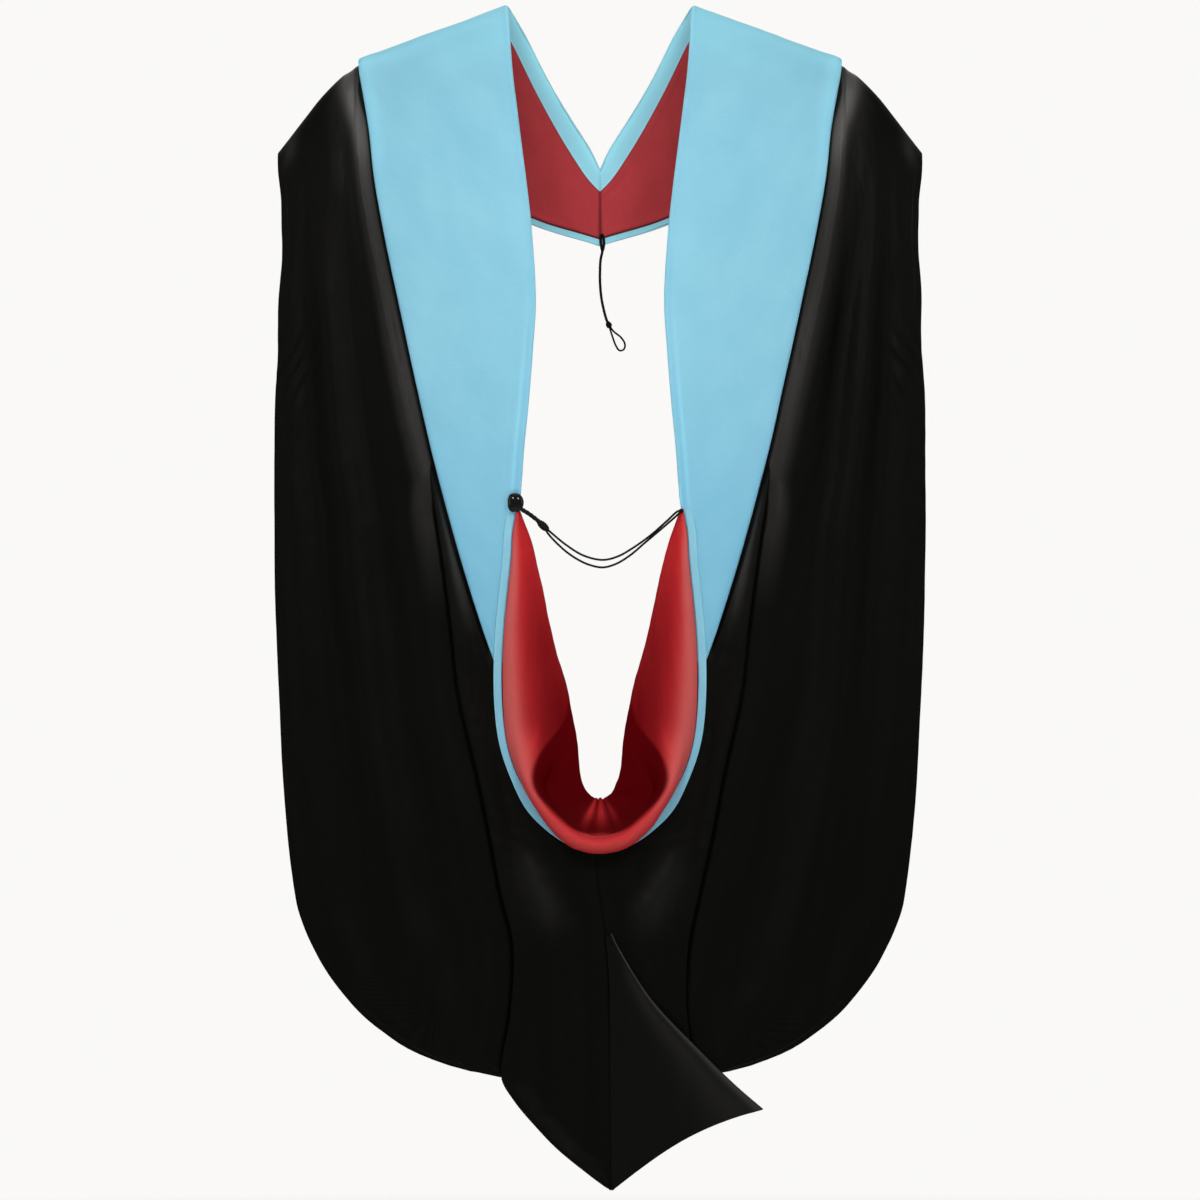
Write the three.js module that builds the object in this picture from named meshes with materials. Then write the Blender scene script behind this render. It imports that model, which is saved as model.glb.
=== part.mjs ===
// Academic hood, seen and named from its back: the wearer faces +Y, the hood hangs behind at -Y, +Z is up.
// The origin is midway between the two neck sides, on the shoulder ridge. Lengths are in millimetres.
import * as THREE from "three";
import { mergeVertices } from "three/addons/utils/BufferGeometryUtils.js";

// Overall sizes
const hood_length = 1219;
const hood_width = 674;
const half_width = hood_width / 2;
const back_depth = 95;
const side_fall = 0.72;
const shoulder_drop = 110;
const front_depth = 125;

// Walls and the clearance between neighbouring cloths
const velvet_wall = 2.4;
const satin_wall = 1.5;
const lining_wall = 1.2;
const hem_wall = 1.6;
const gap = 0.3;
const layer_room = 0.9;

// Folds, rolls and hems
const flute_depth = 7;
const flute_count = 2.5;
const fold_lift = 9;
const fold_turn = 14;
const least_fold = 4.2;
const roll_height = 30;
const strip_width = 8.3;
const neck_hem_width = 18.5;
const edge_hem_width = 9;
const ridge_inset = 20;

// Button and cords
const button_width = 16.5;
const button_height = 19.6;
const button_thickness = 6;
const button_shank = 3.2;
const twist_diameter = 4.2;
const strand_diameter = 1.9;
const front_cord_diameter = 2.4;
const loop_diameter = 1.7;
const knot_length = 15;
const knot_diameter = 8;
const front_knot_diameter = 7;
const tack_diameter = 5;

// Top line of the cloth over the shoulders: out from the middle, drop below the neck side
const top_line = [
  { out: 0.281, drop: 0 },
  { out: 0.468, drop: 0.0144 },
  { out: 0.590, drop: 0.0271 },
  { out: 0.676, drop: 0.0355 },
  { out: 0.737, drop: 0.0440 },
  { out: 0.743, drop: 0.0480 },
  { out: 0.793, drop: 0.0567 },
  { out: 0.855, drop: 0.0736 },
  { out: 0.904, drop: 0.0905 },
  { out: 0.951, drop: 0.1074 },
  { out: 0.991, drop: 0.1218 },
];

// How far the cloth stands behind the ridge along the middle of the back
const back_profile = [
  { down: 0, depth: 0.62 },
  { down: 0.085, depth: 0.76 },
  { down: 0.212, depth: 0.93 },
  { down: 0.338, depth: 1.0 },
  { down: 0.508, depth: 0.95 },
  { down: 0.677, depth: 0.90 },
  { down: 0.804, depth: 0.86 },
  { down: 1.0, depth: 0.80 },
];

// Inner edge of the velvet band; below 0.42 it is hidden under the turned-out lining
const velvet_inner = [
  { down: 0, out: 0.281 },
  { down: 0.052, out: 0.269 },
  { down: 0.093, out: 0.251 },
  { down: 0.152, out: 0.223 },
  { down: 0.190, out: 0.208 },
  { down: 0.247, out: 0.196 },
  { down: 0.289, out: 0.205 },
  { down: 0.332, out: 0.217 },
  { down: 0.374, out: 0.232 },
  { down: 0.412, out: 0.243 },
  { down: 0.427, out: 0.257 },
  { down: 0.471, out: 0.258 },
  { down: 0.522, out: 0.270 },
  { down: 0.552, out: 0.288 },
];

// Outer edge of the velvet band, where the black satin is sewn on
const velvet_outer = [
  { down: 0.046, out: 0.740 },
  { down: 0.102, out: 0.710 },
  { down: 0.145, out: 0.693 },
  { down: 0.188, out: 0.665 },
  { down: 0.247, out: 0.620 },
  { down: 0.315, out: 0.566 },
  { down: 0.371, out: 0.520 },
  { down: 0.421, out: 0.473 },
  { down: 0.471, out: 0.422 },
  { down: 0.519, out: 0.367 },
  { down: 0.552, out: 0.325 },
];

// Front of the neckband from the shoulder ridge (0) to the middle of the chest (1)
const neck_front = [
  { along: 0, out: 0.281, down: 0, fore: 0, edge_out: 0.740, edge_down: 0.046, edge_fore: 0 },
  { along: 0.2, out: 0.239, down: 0.021, fore: 0.21, edge_out: 0.70, edge_down: 0.082, edge_fore: 0.27 },
  { along: 0.4, out: 0.171, down: 0.057, fore: 0.46, edge_out: 0.59, edge_down: 0.121, edge_fore: 0.54 },
  { along: 0.6, out: 0.107, down: 0.087, fore: 0.68, edge_out: 0.42, edge_down: 0.155, edge_fore: 0.78 },
  { along: 0.8, out: 0.043, down: 0.115, fore: 0.84, edge_out: 0.208, edge_down: 0.183, edge_fore: 0.95 },
  { along: 1, out: 0, down: 0.1345, fore: 0.88, edge_out: 0, edge_down: 0.20, edge_fore: 1.0 },
];

// Outer edge of the wing, from its upper corner to where it meets the tail
const wing_outer = [
  { down: 0.1218, out: 0.991 },
  { down: 0.135, out: 0.985 },
  { down: 0.162, out: 0.979 },
  { down: 0.213, out: 0.979 },
  { down: 0.332, out: 0.997 },
  { down: 0.395, out: 1.0 },
  { down: 0.501, out: 0.998 },
  { down: 0.585, out: 0.985 },
  { down: 0.670, out: 0.969 },
  { down: 0.755, out: 0.934 },
  { down: 0.780, out: 0.906 },
  { down: 0.805, out: 0.862 },
  { down: 0.822, out: 0.823 },
  { down: 0.839, out: 0.774 },
  { down: 0.852, out: 0.730 },
  { down: 0.865, out: 0.673 },
  { down: 0.882, out: 0.578 },
  { down: 0.893, out: 0.478 },
  { down: 0.900, out: 0.384 },
  { down: 0.9036, out: 0.340 },
];

// Fold edge of the back panel over the wing, then the free edge of the tail on the left
const panel_outer_left = [
  { down: 0.365, out: 0.528 },
  { down: 0.408, out: 0.511 },
  { down: 0.464, out: 0.480 },
  { down: 0.520, out: 0.453 },
  { down: 0.580, out: 0.428 },
  { down: 0.653, out: 0.367 },
  { down: 0.695, out: 0.336 },
  { down: 0.748, out: 0.300 },
  { down: 0.792, out: 0.263 },
  { down: 0.850, out: 0.272 },
  { down: 0.903, out: 0.300 },
  { down: 0.924, out: 0.260 },
  { down: 0.949, out: 0.183 },
  { down: 0.966, out: 0.122 },
  { down: 0.987, out: 0.0275 },
  { down: 1.0, out: -0.036 },
];

// Fold edge of the right back panel over the wing
const panel_outer_right = [
  { down: 0.365, out: 0.528 },
  { down: 0.408, out: 0.511 },
  { down: 0.464, out: 0.480 },
  { down: 0.520, out: 0.453 },
  { down: 0.580, out: 0.428 },
  { down: 0.653, out: 0.370 },
  { down: 0.695, out: 0.342 },
  { down: 0.748, out: 0.300 },
  { down: 0.792, out: 0.268 },
  { down: 0.840, out: 0.262 },
  { down: 0.876, out: 0.285 },
];

// Inner edge of a back panel between the velvet's point and the centre seam, under the cowl
const panel_inner = [
  { down: 0.552, out: 0.325 },
  { down: 0.565, out: 0.300 },
  { down: 0.590, out: 0.282 },
  { down: 0.618, out: 0.266 },
  { down: 0.643, out: 0.239 },
  { down: 0.665, out: 0.196 },
  { down: 0.684, out: 0.146 },
  { down: 0.698, out: 0.088 },
  { down: 0.708, out: 0 },
];

// Centre seam below the cowl; it wanders to the right
const centre_seam = [
  { down: 0.700, out: -0.003 },
  { down: 0.729, out: -0.009 },
  { down: 0.786, out: 0.018 },
  { down: 0.822, out: 0.028 },
  { down: 0.992, out: 0.034 },
  { down: 1.0, out: 0.038 },
];

// Fold edge of the tail's turned right half
const turn_fold = [
  { along: 0, out: 0.028, down: 0.778 },
  { along: 0.14, out: 0.061, down: 0.797 },
  { along: 0.34, out: 0.159, down: 0.839 },
  { along: 0.60, out: 0.306, down: 0.882 },
  { along: 0.82, out: 0.413, down: 0.911 },
  { along: 1, out: 0.498, down: 0.9315 },
];

// Turned-out cowl from its upper end (0) to the middle of its foot (1)
const cowl_path = [
  { along: 0, out: 0.266, down: 0.4225, lip_out: 0.243, lip_down: 0.4225, roll: 0.05, foot: 0 },
  { along: 0.10, out: 0.268, down: 0.459, lip_out: 0.205, lip_down: 0.459, roll: 0.18, foot: 0 },
  { along: 0.20, out: 0.281, down: 0.494, lip_out: 0.174, lip_down: 0.494, roll: 0.30, foot: 0 },
  { along: 0.31, out: 0.294, down: 0.533, lip_out: 0.144, lip_down: 0.535, roll: 0.40, foot: 0 },
  { along: 0.44, out: 0.297, down: 0.579, lip_out: 0.101, lip_down: 0.577, roll: 0.50, foot: 0 },
  { along: 0.55, out: 0.284, down: 0.618, lip_out: 0.072, lip_down: 0.620, roll: 0.60, foot: 0.10 },
  { along: 0.63, out: 0.257, down: 0.643, lip_out: 0.063, lip_down: 0.646, roll: 0.70, foot: 0.25 },
  { along: 0.71, out: 0.217, down: 0.665, lip_out: 0.049, lip_down: 0.660, roll: 0.80, foot: 0.45 },
  { along: 0.79, out: 0.171, down: 0.684, lip_out: 0.035, lip_down: 0.665, roll: 0.90, foot: 0.70 },
  { along: 0.87, out: 0.125, down: 0.701, lip_out: 0.021, lip_down: 0.6675, roll: 1.0, foot: 0.90 },
  { along: 0.94, out: 0.070, down: 0.7115, lip_out: 0.011, lip_down: 0.669, roll: 1.0, foot: 1 },
  { along: 1, out: 0, down: 0.715, lip_out: 0, lip_down: 0.669, roll: 1.0, foot: 1 },
];

// Section of the cowl's lining, at its side and at its foot: across is a share of the flap's width, lift a
// share of its roll, and clear counts how many layer clearances stand off towards -Y.
const cowl_section = [
  { side_across: 0.00, side_lift: 0.00, foot_across: 0.16, foot_lift: 0.00, clear: 1 },
  { side_across: 0.08, side_lift: 0.45, foot_across: 0.02, foot_lift: 0.28, clear: 1 },
  { side_across: 0.18, side_lift: 0.85, foot_across: 0.01, foot_lift: 0.70, clear: 1 },
  { side_across: 0.30, side_lift: 0.95, foot_across: 0.13, foot_lift: 1.00, clear: 1 },
  { side_across: 0.48, side_lift: 0.70, foot_across: 0.30, foot_lift: 0.85, clear: 1 },
  { side_across: 0.66, side_lift: 0.25, foot_across: 0.33, foot_lift: 0.40, clear: 1 },
  { side_across: 0.84, side_lift: -0.10, foot_across: 0.30, foot_lift: 0.00, clear: 0.7 },
  { side_across: 0.98, side_lift: -0.22, foot_across: 0.75, foot_lift: -0.22, clear: 0 },
  { side_across: 1.00, side_lift: -0.32, foot_across: 1.00, foot_lift: -0.34, clear: -0.4 },
  { side_across: 0.90, side_lift: -0.40, foot_across: 0.90, foot_lift: -0.46, clear: -1 },
  { side_across: 0.50, side_lift: -0.26, foot_across: 0.35, foot_lift: -0.30, clear: -1 },
  { side_across: -0.06, side_lift: 0.00, foot_across: -0.20, foot_lift: 0.00, clear: -1 },
];

// Stations down the band below the ridge, dense where the cloth turns over the shoulder
const band_downs = [
  0.0, 0.004, 0.014, 0.030, 0.052, 0.082, 0.120, 0.165, 0.212, 0.262, 0.314, 0.366, 0.412, 0.427,
  0.470, 0.510, 0.552,
];
const front_alongs = [1, 0.9, 0.8, 0.7, 0.6, 0.5, 0.4, 0.3, 0.2, 0.1];

// Material colours follow the cloths: pale blue pile, matte red, red satin, black satin, black cord
const materials = {
  velvet: { color: 0x8fc9dd, roughness: 0.95, metalness: 0 },
  lining: { color: 0xa03036, roughness: 0.85, metalness: 0 },
  red_satin: { color: 0xb0262c, roughness: 0.45, metalness: 0 },
  black_satin: { color: 0x141311, roughness: 0.5, metalness: 0 },
  cord: { color: 0x0c0c0c, roughness: 0.6, metalness: 0 },
  gloss_black: { color: 0x080808, roughness: 0.15, metalness: 0 },
};

const hood = new THREE.Group();

function add_piece(name, geometry, material) {
  const mesh = new THREE.Mesh(geometry, new THREE.MeshStandardMaterial(materials[material]));
  mesh.name = name;
  hood.add(mesh);
  return mesh;
}

// Smooth curve through a table's rows, by one column against another
function along_table(table, key, column, value) {
  const last = table.length - 1;
  if (value <= table[0][key]) {
    return table[0][column];
  }
  if (value >= table[last][key]) {
    return table[last][column];
  }
  let i = 0;
  while (value > table[i + 1][key]) {
    i += 1;
  }
  const slope = (k) => {
    const before = table[Math.max(k - 1, 0)];
    const after = table[Math.min(k + 1, last)];
    return (after[column] - before[column]) / (after[key] - before[key]);
  };
  const step = table[i + 1][key] - table[i][key];
  const t = (value - table[i][key]) / step;
  const rise = table[i + 1][column] - table[i][column];
  const limit = 3 * Math.abs(rise / step);
  const hold = (m) => Math.max(-limit, Math.min(limit, m));
  const start = hold(slope(i)) * step;
  const end = hold(slope(i + 1)) * step;
  return table[i][column] + t * (start + t * (3 * rise - 2 * start - end + t * (start + end - 2 * rise)));
}

function blend(a, b, t) {
  return a + (b - a) * t;
}

function ease(from, to, value) {
  const t = Math.max(0, Math.min(1, (value - from) / (to - from)));
  return t * t * (3 - 2 * t);
}

function steps(from, to, count) {
  return Array.from({ length: count + 1 }, (_, i) => blend(from, to, i / count));
}

// Height of the top line above a place on the back, as a share of the length
function top_drop(out) {
  return along_table(top_line, "out", "drop", out);
}

// Where the cloth of the back lies: out and down are shares, lift stands off towards -Y
function back_point(side, out, down, lift) {
  const x = out * half_width;
  const below = Math.max(0, down - top_drop(Math.abs(out))) * hood_length;
  const turn = 1 - Math.min(1, below / shoulder_drop);
  const round = Math.sqrt(Math.max(0, 1 - turn * turn));
  const depth = back_depth * along_table(back_profile, "down", "depth", down);
  const y = -depth * (1 - side_fall * out * out) * round;
  const up = lift * turn;
  return new THREE.Vector3(side * x, y - lift * round, -down * hood_length + up);
}

// A closed cloth around a grid of middle points, as thick as its wall
function cloth(us, vs, point, wall) {
  const grid = vs.map((v) => us.map((u) => point(u, v)));
  const rows = vs.length;
  const columns = us.length;
  const faces = [[], []];
  for (let j = 0; j < rows; j += 1) {
    for (let i = 0; i < columns; i += 1) {
      const along_u = grid[j][Math.min(i + 1, columns - 1)].clone().sub(grid[j][Math.max(i - 1, 0)]);
      const along_v = grid[Math.min(j + 1, rows - 1)][i].clone().sub(grid[Math.max(j - 1, 0)][i]);
      const normal = along_u.cross(along_v).normalize().multiplyScalar(wall / 2);
      faces[0].push(grid[j][i].clone().add(normal));
      faces[1].push(grid[j][i].clone().sub(normal));
    }
  }
  return closed_grid(faces, rows, columns);
}

// Joins two grids of points, row by row, into one closed body
function closed_grid(faces, rows, columns) {
  const positions = [...faces[0], ...faces[1]].flatMap((p) => p.toArray());
  const count = rows * columns;
  const at = (face, j, i) => face * count + j * columns + i;
  const index = [];
  const quad = (a, b, c, d) => index.push(a, b, c, a, c, d);
  for (let j = 0; j + 1 < rows; j += 1) {
    for (let i = 0; i + 1 < columns; i += 1) {
      quad(at(0, j, i), at(0, j, i + 1), at(0, j + 1, i + 1), at(0, j + 1, i));
      quad(at(1, j, i), at(1, j + 1, i), at(1, j + 1, i + 1), at(1, j, i + 1));
    }
    quad(at(0, j, 0), at(0, j + 1, 0), at(1, j + 1, 0), at(1, j, 0));
    const e = columns - 1;
    quad(at(0, j, e), at(1, j, e), at(1, j + 1, e), at(0, j + 1, e));
  }
  for (let i = 0; i + 1 < columns; i += 1) {
    const e = rows - 1;
    quad(at(0, 0, i), at(1, 0, i), at(1, 0, i + 1), at(0, 0, i + 1));
    quad(at(0, e, i), at(0, e, i + 1), at(1, e, i + 1), at(1, e, i));
  }
  const geometry = new THREE.BufferGeometry();
  geometry.setAttribute("position", new THREE.Float32BufferAttribute(positions, 3));
  geometry.setIndex(index);
  return outward(geometry);
}

// Turns a closed body's faces outward
function outward(source) {
  const bare = source.clone();
  bare.deleteAttribute("normal");
  bare.deleteAttribute("uv");
  const geometry = mergeVertices(bare, 1e-4);
  const p = geometry.attributes.position;
  const order = Array.from(geometry.index.array);
  const corner = (k) => new THREE.Vector3().fromBufferAttribute(p, order[k]);
  let volume = 0;
  for (let k = 0; k < order.length; k += 3) {
    volume += corner(k).dot(corner(k + 1).cross(corner(k + 2)));
  }
  if (volume < 0) {
    for (let k = 0; k < order.length; k += 3) {
      [order[k + 1], order[k + 2]] = [order[k + 2], order[k + 1]];
    }
    geometry.setIndex(order);
  }
  geometry.computeVertexNormals();
  return geometry;
}

// Middle of the band's velvet at a station: from the chest (along 1) over the ridge (0) and down the back
function band_row(station, share) {
  if (station.along > 0) {
    const value = (column) => along_table(neck_front, "along", column, station.along);
    const out = blend(value("out"), value("edge_out"), share);
    const fore = blend(value("fore"), value("edge_fore"), share);
    const down = blend(value("down"), value("edge_down"), share);
    const crown = crown_rise(share) * (1 - station.along);
    return new THREE.Vector3(out * half_width, fore * front_depth, (crown - down) * hood_length);
  }
  const reach = velvet_outer[velvet_outer.length - 1].down;
  const start = velvet_outer[0].down;
  const inner_down = station.down;
  const outer_down = start + (reach - start) * (station.down / reach);
  const inner = along_table(velvet_inner, "down", "out", inner_down);
  const outer = along_table(velvet_outer, "down", "out", outer_down);
  const crown = crown_rise(share) * (1 - ease(0, 0.2, station.down));
  return back_point(1, blend(inner, outer, share), blend(inner_down, outer_down, share) - crown, 0);
}

// How far the ridge stands above the straight line between its two ends
function crown_rise(out_share) {
  const start = top_line[0].out;
  const end = velvet_outer[0].out;
  return velvet_outer[0].down * out_share - top_drop(blend(start, end, out_share));
}

function band_stations(to_down) {
  const front = front_alongs.map((along) => ({ along, down: 0 }));
  const back = band_downs.filter((down) => down <= to_down).map((down) => ({ along: 0, down }));
  return [...front, ...back];
}

// A cloth that follows the band between two shares of its width, at a level above the velvet's middle
function band_cloth(side, stations, shares, level, wall) {
  const last = stations.length - 1;
  const faces = [[], []];
  stations.forEach((station, k) => {
    for (const u of shares.columns) {
      const share = shares(u, station);
      const middle = band_row(station, share);
      const across = band_row(station, share + 0.03).sub(band_row(station, share - 0.03));
      const before = band_row(stations[Math.max(k - 1, 0)], share);
      const after = band_row(stations[Math.min(k + 1, last)], share);
      const normal = after.sub(before).cross(across);
      if (station.along === 1) {
        normal.x = 0;
      }
      normal.normalize();
      [level + wall / 2, level - wall / 2].forEach((height, face) => {
        const p = middle.clone().addScaledVector(normal, height);
        faces[face].push(new THREE.Vector3(side * Math.max(p.x, gap / 2), p.y, p.z));
      });
    }
  });
  return closed_grid(faces, stations.length, shares.columns.length);
}

// Width of the band at a station, for hems of a fixed width
function band_width(station) {
  return band_row(station, 0).distanceTo(band_row(station, 1));
}

function make_velvet(side, name) {
  const shares = (u) => u;
  shares.columns = steps(0, 1, 6);
  add_piece(name, band_cloth(side, band_stations(1), shares, 0, velvet_wall), "velvet");
}

const lining_level = -(velvet_wall / 2 + layer_room + lining_wall / 2);
const hem_level = -(velvet_wall / 2 + layer_room + hem_wall / 2);

function make_band_lining(side, name) {
  const shares = (u, station) => {
    const width = band_width(station);
    const low = Math.min(0.4, neck_hem_width / width) + gap / width;
    const near_ridge = 1 - ease(0.2, 0.5, station.along) - ease(0.03, 0.15, station.down);
    const high = 1 - (edge_hem_width + gap + ridge_inset * near_ridge) / width;
    return blend(low, high, u);
  };
  shares.columns = steps(0, 1, 4);
  add_piece(name, band_cloth(side, band_stations(0.413), shares, lining_level, lining_wall), "lining");
}

function make_neck_hem(side, name) {
  const shares = (u, station) => u * Math.min(0.4, neck_hem_width / band_width(station));
  shares.columns = [0, 1];
  add_piece(name, band_cloth(side, band_stations(0.413), shares, hem_level, hem_wall), "velvet");
}

function make_front_edge(side, name) {
  const shares = (u, station) => 1 - u * edge_hem_width / band_width(station);
  shares.columns = [0, 1];
  const stations = front_alongs.filter((along) => along > 0.25).map((along) => ({ along, down: 0 }));
  add_piece(name, band_cloth(side, stations, shares, hem_level, hem_wall), "velvet");
}

// Seam of the wing on the velvet at the ridge and in front of it
function front_seam(along) {
  return band_row({ along, down: 0 }, 1).sub(band_row({ along: 0, down: 0 }, 1));
}

const wing_front = 0.35;
const panel_start = velvet_outer[7].down - 0.025;
const seam_share = 2 * gap / half_width;
const seam_step = 0.002;

// Depth of the turned-under hem along a back panel's fold
function turn_at(outer, down) {
  const fold = along_table(outer, "down", "out", down);
  const width = (fold - panel_inner_out(1, down)) * half_width;
  const fade = 1 - 0.75 * ease(0.78, 0.84, down);
  return Math.max(0.6, Math.min(fold_turn * fade, 0.3 * width));
}

function panel_inner_out(side, down) {
  if (down < panel_inner[0].down) {
    return along_table(velvet_outer, "down", "out", down) + seam_share;
  }
  const seam = side * along_table(centre_seam, "down", "out", down) + seam_share / 2;
  const last = panel_inner[panel_inner.length - 1].down;
  if (down >= last) {
    return seam;
  }
  const under = along_table(panel_inner, "down", "out", down);
  const first = panel_inner[0].down;
  return under + seam_share * (1 - ease(first, first + 0.02, down)) + seam * ease(0.69, last, down);
}

// Wing: rows in front of the ridge follow the velvet's seam, rows behind hang down the back
function make_wing(side, name, panel_outer) {
  const bottom = wing_outer[wing_outer.length - 1].down;
  const corner = top_line[top_line.length - 1];
  const seam_start = velvet_outer[0];
  const start = (panel_start - seam_start.down) / (bottom - seam_start.down);
  const hanging = [
    0, 0.004, 0.015, 0.034, 0.062, 0.10, 0.145, 0.19, 0.24, 0.29, 0.34,
    start - seam_step, start + seam_step, 0.47, 0.53, 0.59, 0.65, 0.71, 0.76, 0.80,
    0.835, 0.865, 0.895, 0.92, 0.94, 0.96, 0.975, 0.988, 1,
  ];
  const rows = [
    ...steps(wing_front, 0.12, 3).map((along) => ({ along, v: 0 })),
    ...hanging.map((v) => ({ along: 0, v })),
  ];
  const inner_at = (v) => {
    const down = blend(seam_start.down, bottom, v);
    if (v < start) {
      return along_table(velvet_outer, "down", "out", down) + seam_share;
    }
    return along_table(panel_outer, "down", "out", down) - 0.85 * turn_at(panel_outer, down) / half_width;
  };
  const point = (u, row) => {
    const ridge_out = blend(seam_start.out + seam_share, corner.out, u);
    const top = top_drop(ridge_out);
    if (row.along > 0) {
      const ridge = back_point(1, ridge_out, top, 0);
      ridge.addScaledVector(front_seam(row.along), (1 - u) ** 1.3);
      return new THREE.Vector3(side * ridge.x, ridge.y, ridge.z);
    }
    const low = ease(0, 0.06, row.v);
    const outer = along_table(wing_outer, "down", "out", blend(corner.drop, bottom, row.v));
    const out = blend(ridge_out, blend(inner_at(row.v), outer, u), low);
    const swell = Math.sin(Math.PI * u) ** 1.5 * ease(0.05, 0.3, row.v) * (1 - ease(0.8, 1, row.v));
    const flute = flute_depth * swell * Math.sin(2 * Math.PI * (u * flute_count - 0.15));
    return back_point(side, out, blend(top, bottom, row.v), flute);
  };
  add_piece(name, cloth(steps(0, 1, 10), rows, point, satin_wall), "black_satin");
}

// Section of a folded panel: out to the fold, round it and back under as a hem
const fold_section = [
  { u: 0, across: 0, over: 1, turned: 0 },
  { u: 0.3, across: 0.45, over: 1, turned: 0 },
  { u: 0.6, across: 0.82, over: 1, turned: 0 },
  { u: 0.75, across: 0.95, over: 1, turned: 0 },
  { u: 0.82, across: 1.0, over: 0.86, turned: 0 },
  { u: 0.88, across: 1.0, over: 0.5, turned: 0.06 },
  { u: 1, across: 1.0, over: 0, turned: 1 },
];
const fold_columns = [0, 0.15, 0.3, 0.45, 0.6, 0.75, 0.82, 0.88, 1];
const rest_lift = satin_wall + gap;
const rise_width = 28;

// Height of the section above the cloth below it; it rises over the last stretch before the fold
function fold_lift_at(u, width, height) {
  const from_fold = (1 - along_table(fold_section, "u", "across", u)) * width;
  const rise = 1 - ease(0, Math.min(rise_width, 0.7 * width), from_fold);
  const over = along_table(fold_section, "u", "over", u);
  return rise * blend(rest_lift, height, over);
}

function make_back_panel(side, name, panel_outer, downs) {
  const point = (u, down) => {
    const inner = side < 0 ? panel_inner_out(-1, down) : right_inner_out(down);
    const fold = along_table(panel_outer, "down", "out", down);
    const turn = turn_at(panel_outer, down) / half_width;
    const across = along_table(fold_section, "u", "across", u);
    const turned = along_table(fold_section, "u", "turned", u);
    const width = (fold - inner) * half_width;
    const most = fold_lift * (1 - 0.35 * ease(0.8, 0.88, down));
    const height = Math.min(most, Math.max(least_fold, 0.5 * width));
    const out = blend(inner, fold, across) - turn * turned;
    return back_point(side, out, down, fold_lift_at(u, width, height));
  };
  add_piece(name, cloth(fold_columns, downs, point, satin_wall), "black_satin");
}

// The right panel leaves the centre seam where the tail's turned half covers it
function right_inner_out(down) {
  const seam = panel_inner_out(1, down);
  if (down < turn_fold[0].down) {
    return seam;
  }
  const fold = along_table(turn_fold, "down", "out", down);
  return Math.max(seam, fold - 0.045);
}

const turn_reach = 10;
const turn_hollow = 0.0102;

// The tail's turned half: rows run from the centre seam to its fold edge and end in the hollow lower edge
function make_tail_turn(name) {
  const first = 0.08;
  const seam_from = 0.780;
  const rows = steps(first, 1, 13);
  const point = (u, v) => {
    const seam_down = blend(seam_from, 1, v);
    const seam_out = along_table(centre_seam, "down", "out", seam_down) + seam_share / 2;
    const fold_out = along_table(turn_fold, "along", "out", v);
    const fold_down = along_table(turn_fold, "along", "down", v);
    const across = along_table(fold_section, "u", "across", u);
    const turned = along_table(fold_section, "u", "turned", u);
    const width = (fold_out - seam_out) * half_width;
    const turn = Math.min(turn_reach, 0.42 * width) * turned;
    const out = blend(seam_out, fold_out, across) - 0.8 * turn / half_width;
    const hollow = turn_hollow * v * Math.sin(Math.PI * across);
    const down = blend(seam_down, fold_down, across) - hollow + 0.5 * turn / hood_length;
    const height = Math.min(fold_lift, Math.max(least_fold, 0.4 * width));
    return back_point(1, out, down, rest_lift + fold_lift_at(u, width, height));
  };
  add_piece(name, cloth(fold_columns, rows, point, satin_wall), "black_satin");
}

// Cowl: one section swept down the left flap, around the foot and up the right flap
const cowl_half = [-1, -0.94, -0.87, -0.79, -0.71, -0.63, -0.55, -0.44, -0.33, -0.21, -0.1];
const cowl_places = [...cowl_half, 0, ...cowl_half.map((place) => -place).reverse()];

function cowl_row(place) {
  const side = place > 0 ? 1 : -1;
  const along = 1 - Math.abs(place);
  const value = (column) => along_table(cowl_path, "along", column, along);
  return { side, value };
}

function cowl_point(place, across, lift) {
  const { side, value } = cowl_row(place);
  const out = blend(value("out"), value("lip_out"), across);
  const down = blend(value("down"), value("lip_down"), across);
  return back_point(1, side * out, down, lift);
}

function make_cowl_lining(name) {
  const clearance = velvet_wall / 2 + gap + lining_wall / 2;
  const point = (u, place) => {
    const { value } = cowl_row(place);
    const foot = value("foot");
    const column = (name) => along_table(numbered_section, "u", name, u);
    const across = blend(column("side_across"), column("foot_across"), foot);
    const lift = blend(column("side_lift"), column("foot_lift"), foot) * value("roll") * roll_height;
    return cowl_point(place, across, lift + column("clear") * clearance);
  };
  add_piece(name, cloth(steps(0, 1, 16), cowl_places, point, lining_wall), "red_satin");
}

const numbered_section = cowl_section.map((row, i) => ({ ...row, u: i / (cowl_section.length - 1) }));

// Pale hem strip around the cowl's outer edge; behind the foot's roll it is hidden
const strip_start = cowl_section[0].foot_across;

function make_cowl_edge(name) {
  const level = velvet_wall / 2 + gap + hem_wall / 2;
  const point = (u, place) => {
    const { side, value } = cowl_row(place);
    const foot = value("foot");
    const across_x = side * (value("lip_out") - value("out")) * half_width;
    const across_z = (value("lip_down") - value("down")) * hood_length;
    const width = Math.hypot(across_x, across_z);
    const start = strip_start * width * foot - gap - 0.6 * lining_wall - 2 * foot;
    const reach = (start - u * strip_width * (1 - 0.4 * foot)) / width;
    const out = side * value("out") + across_x * reach / half_width;
    return back_point(1, out, value("down") + across_z * reach / hood_length, level);
  };
  add_piece(name, cloth([0, 1], cowl_places, point, hem_wall), "velvet");
}

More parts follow.
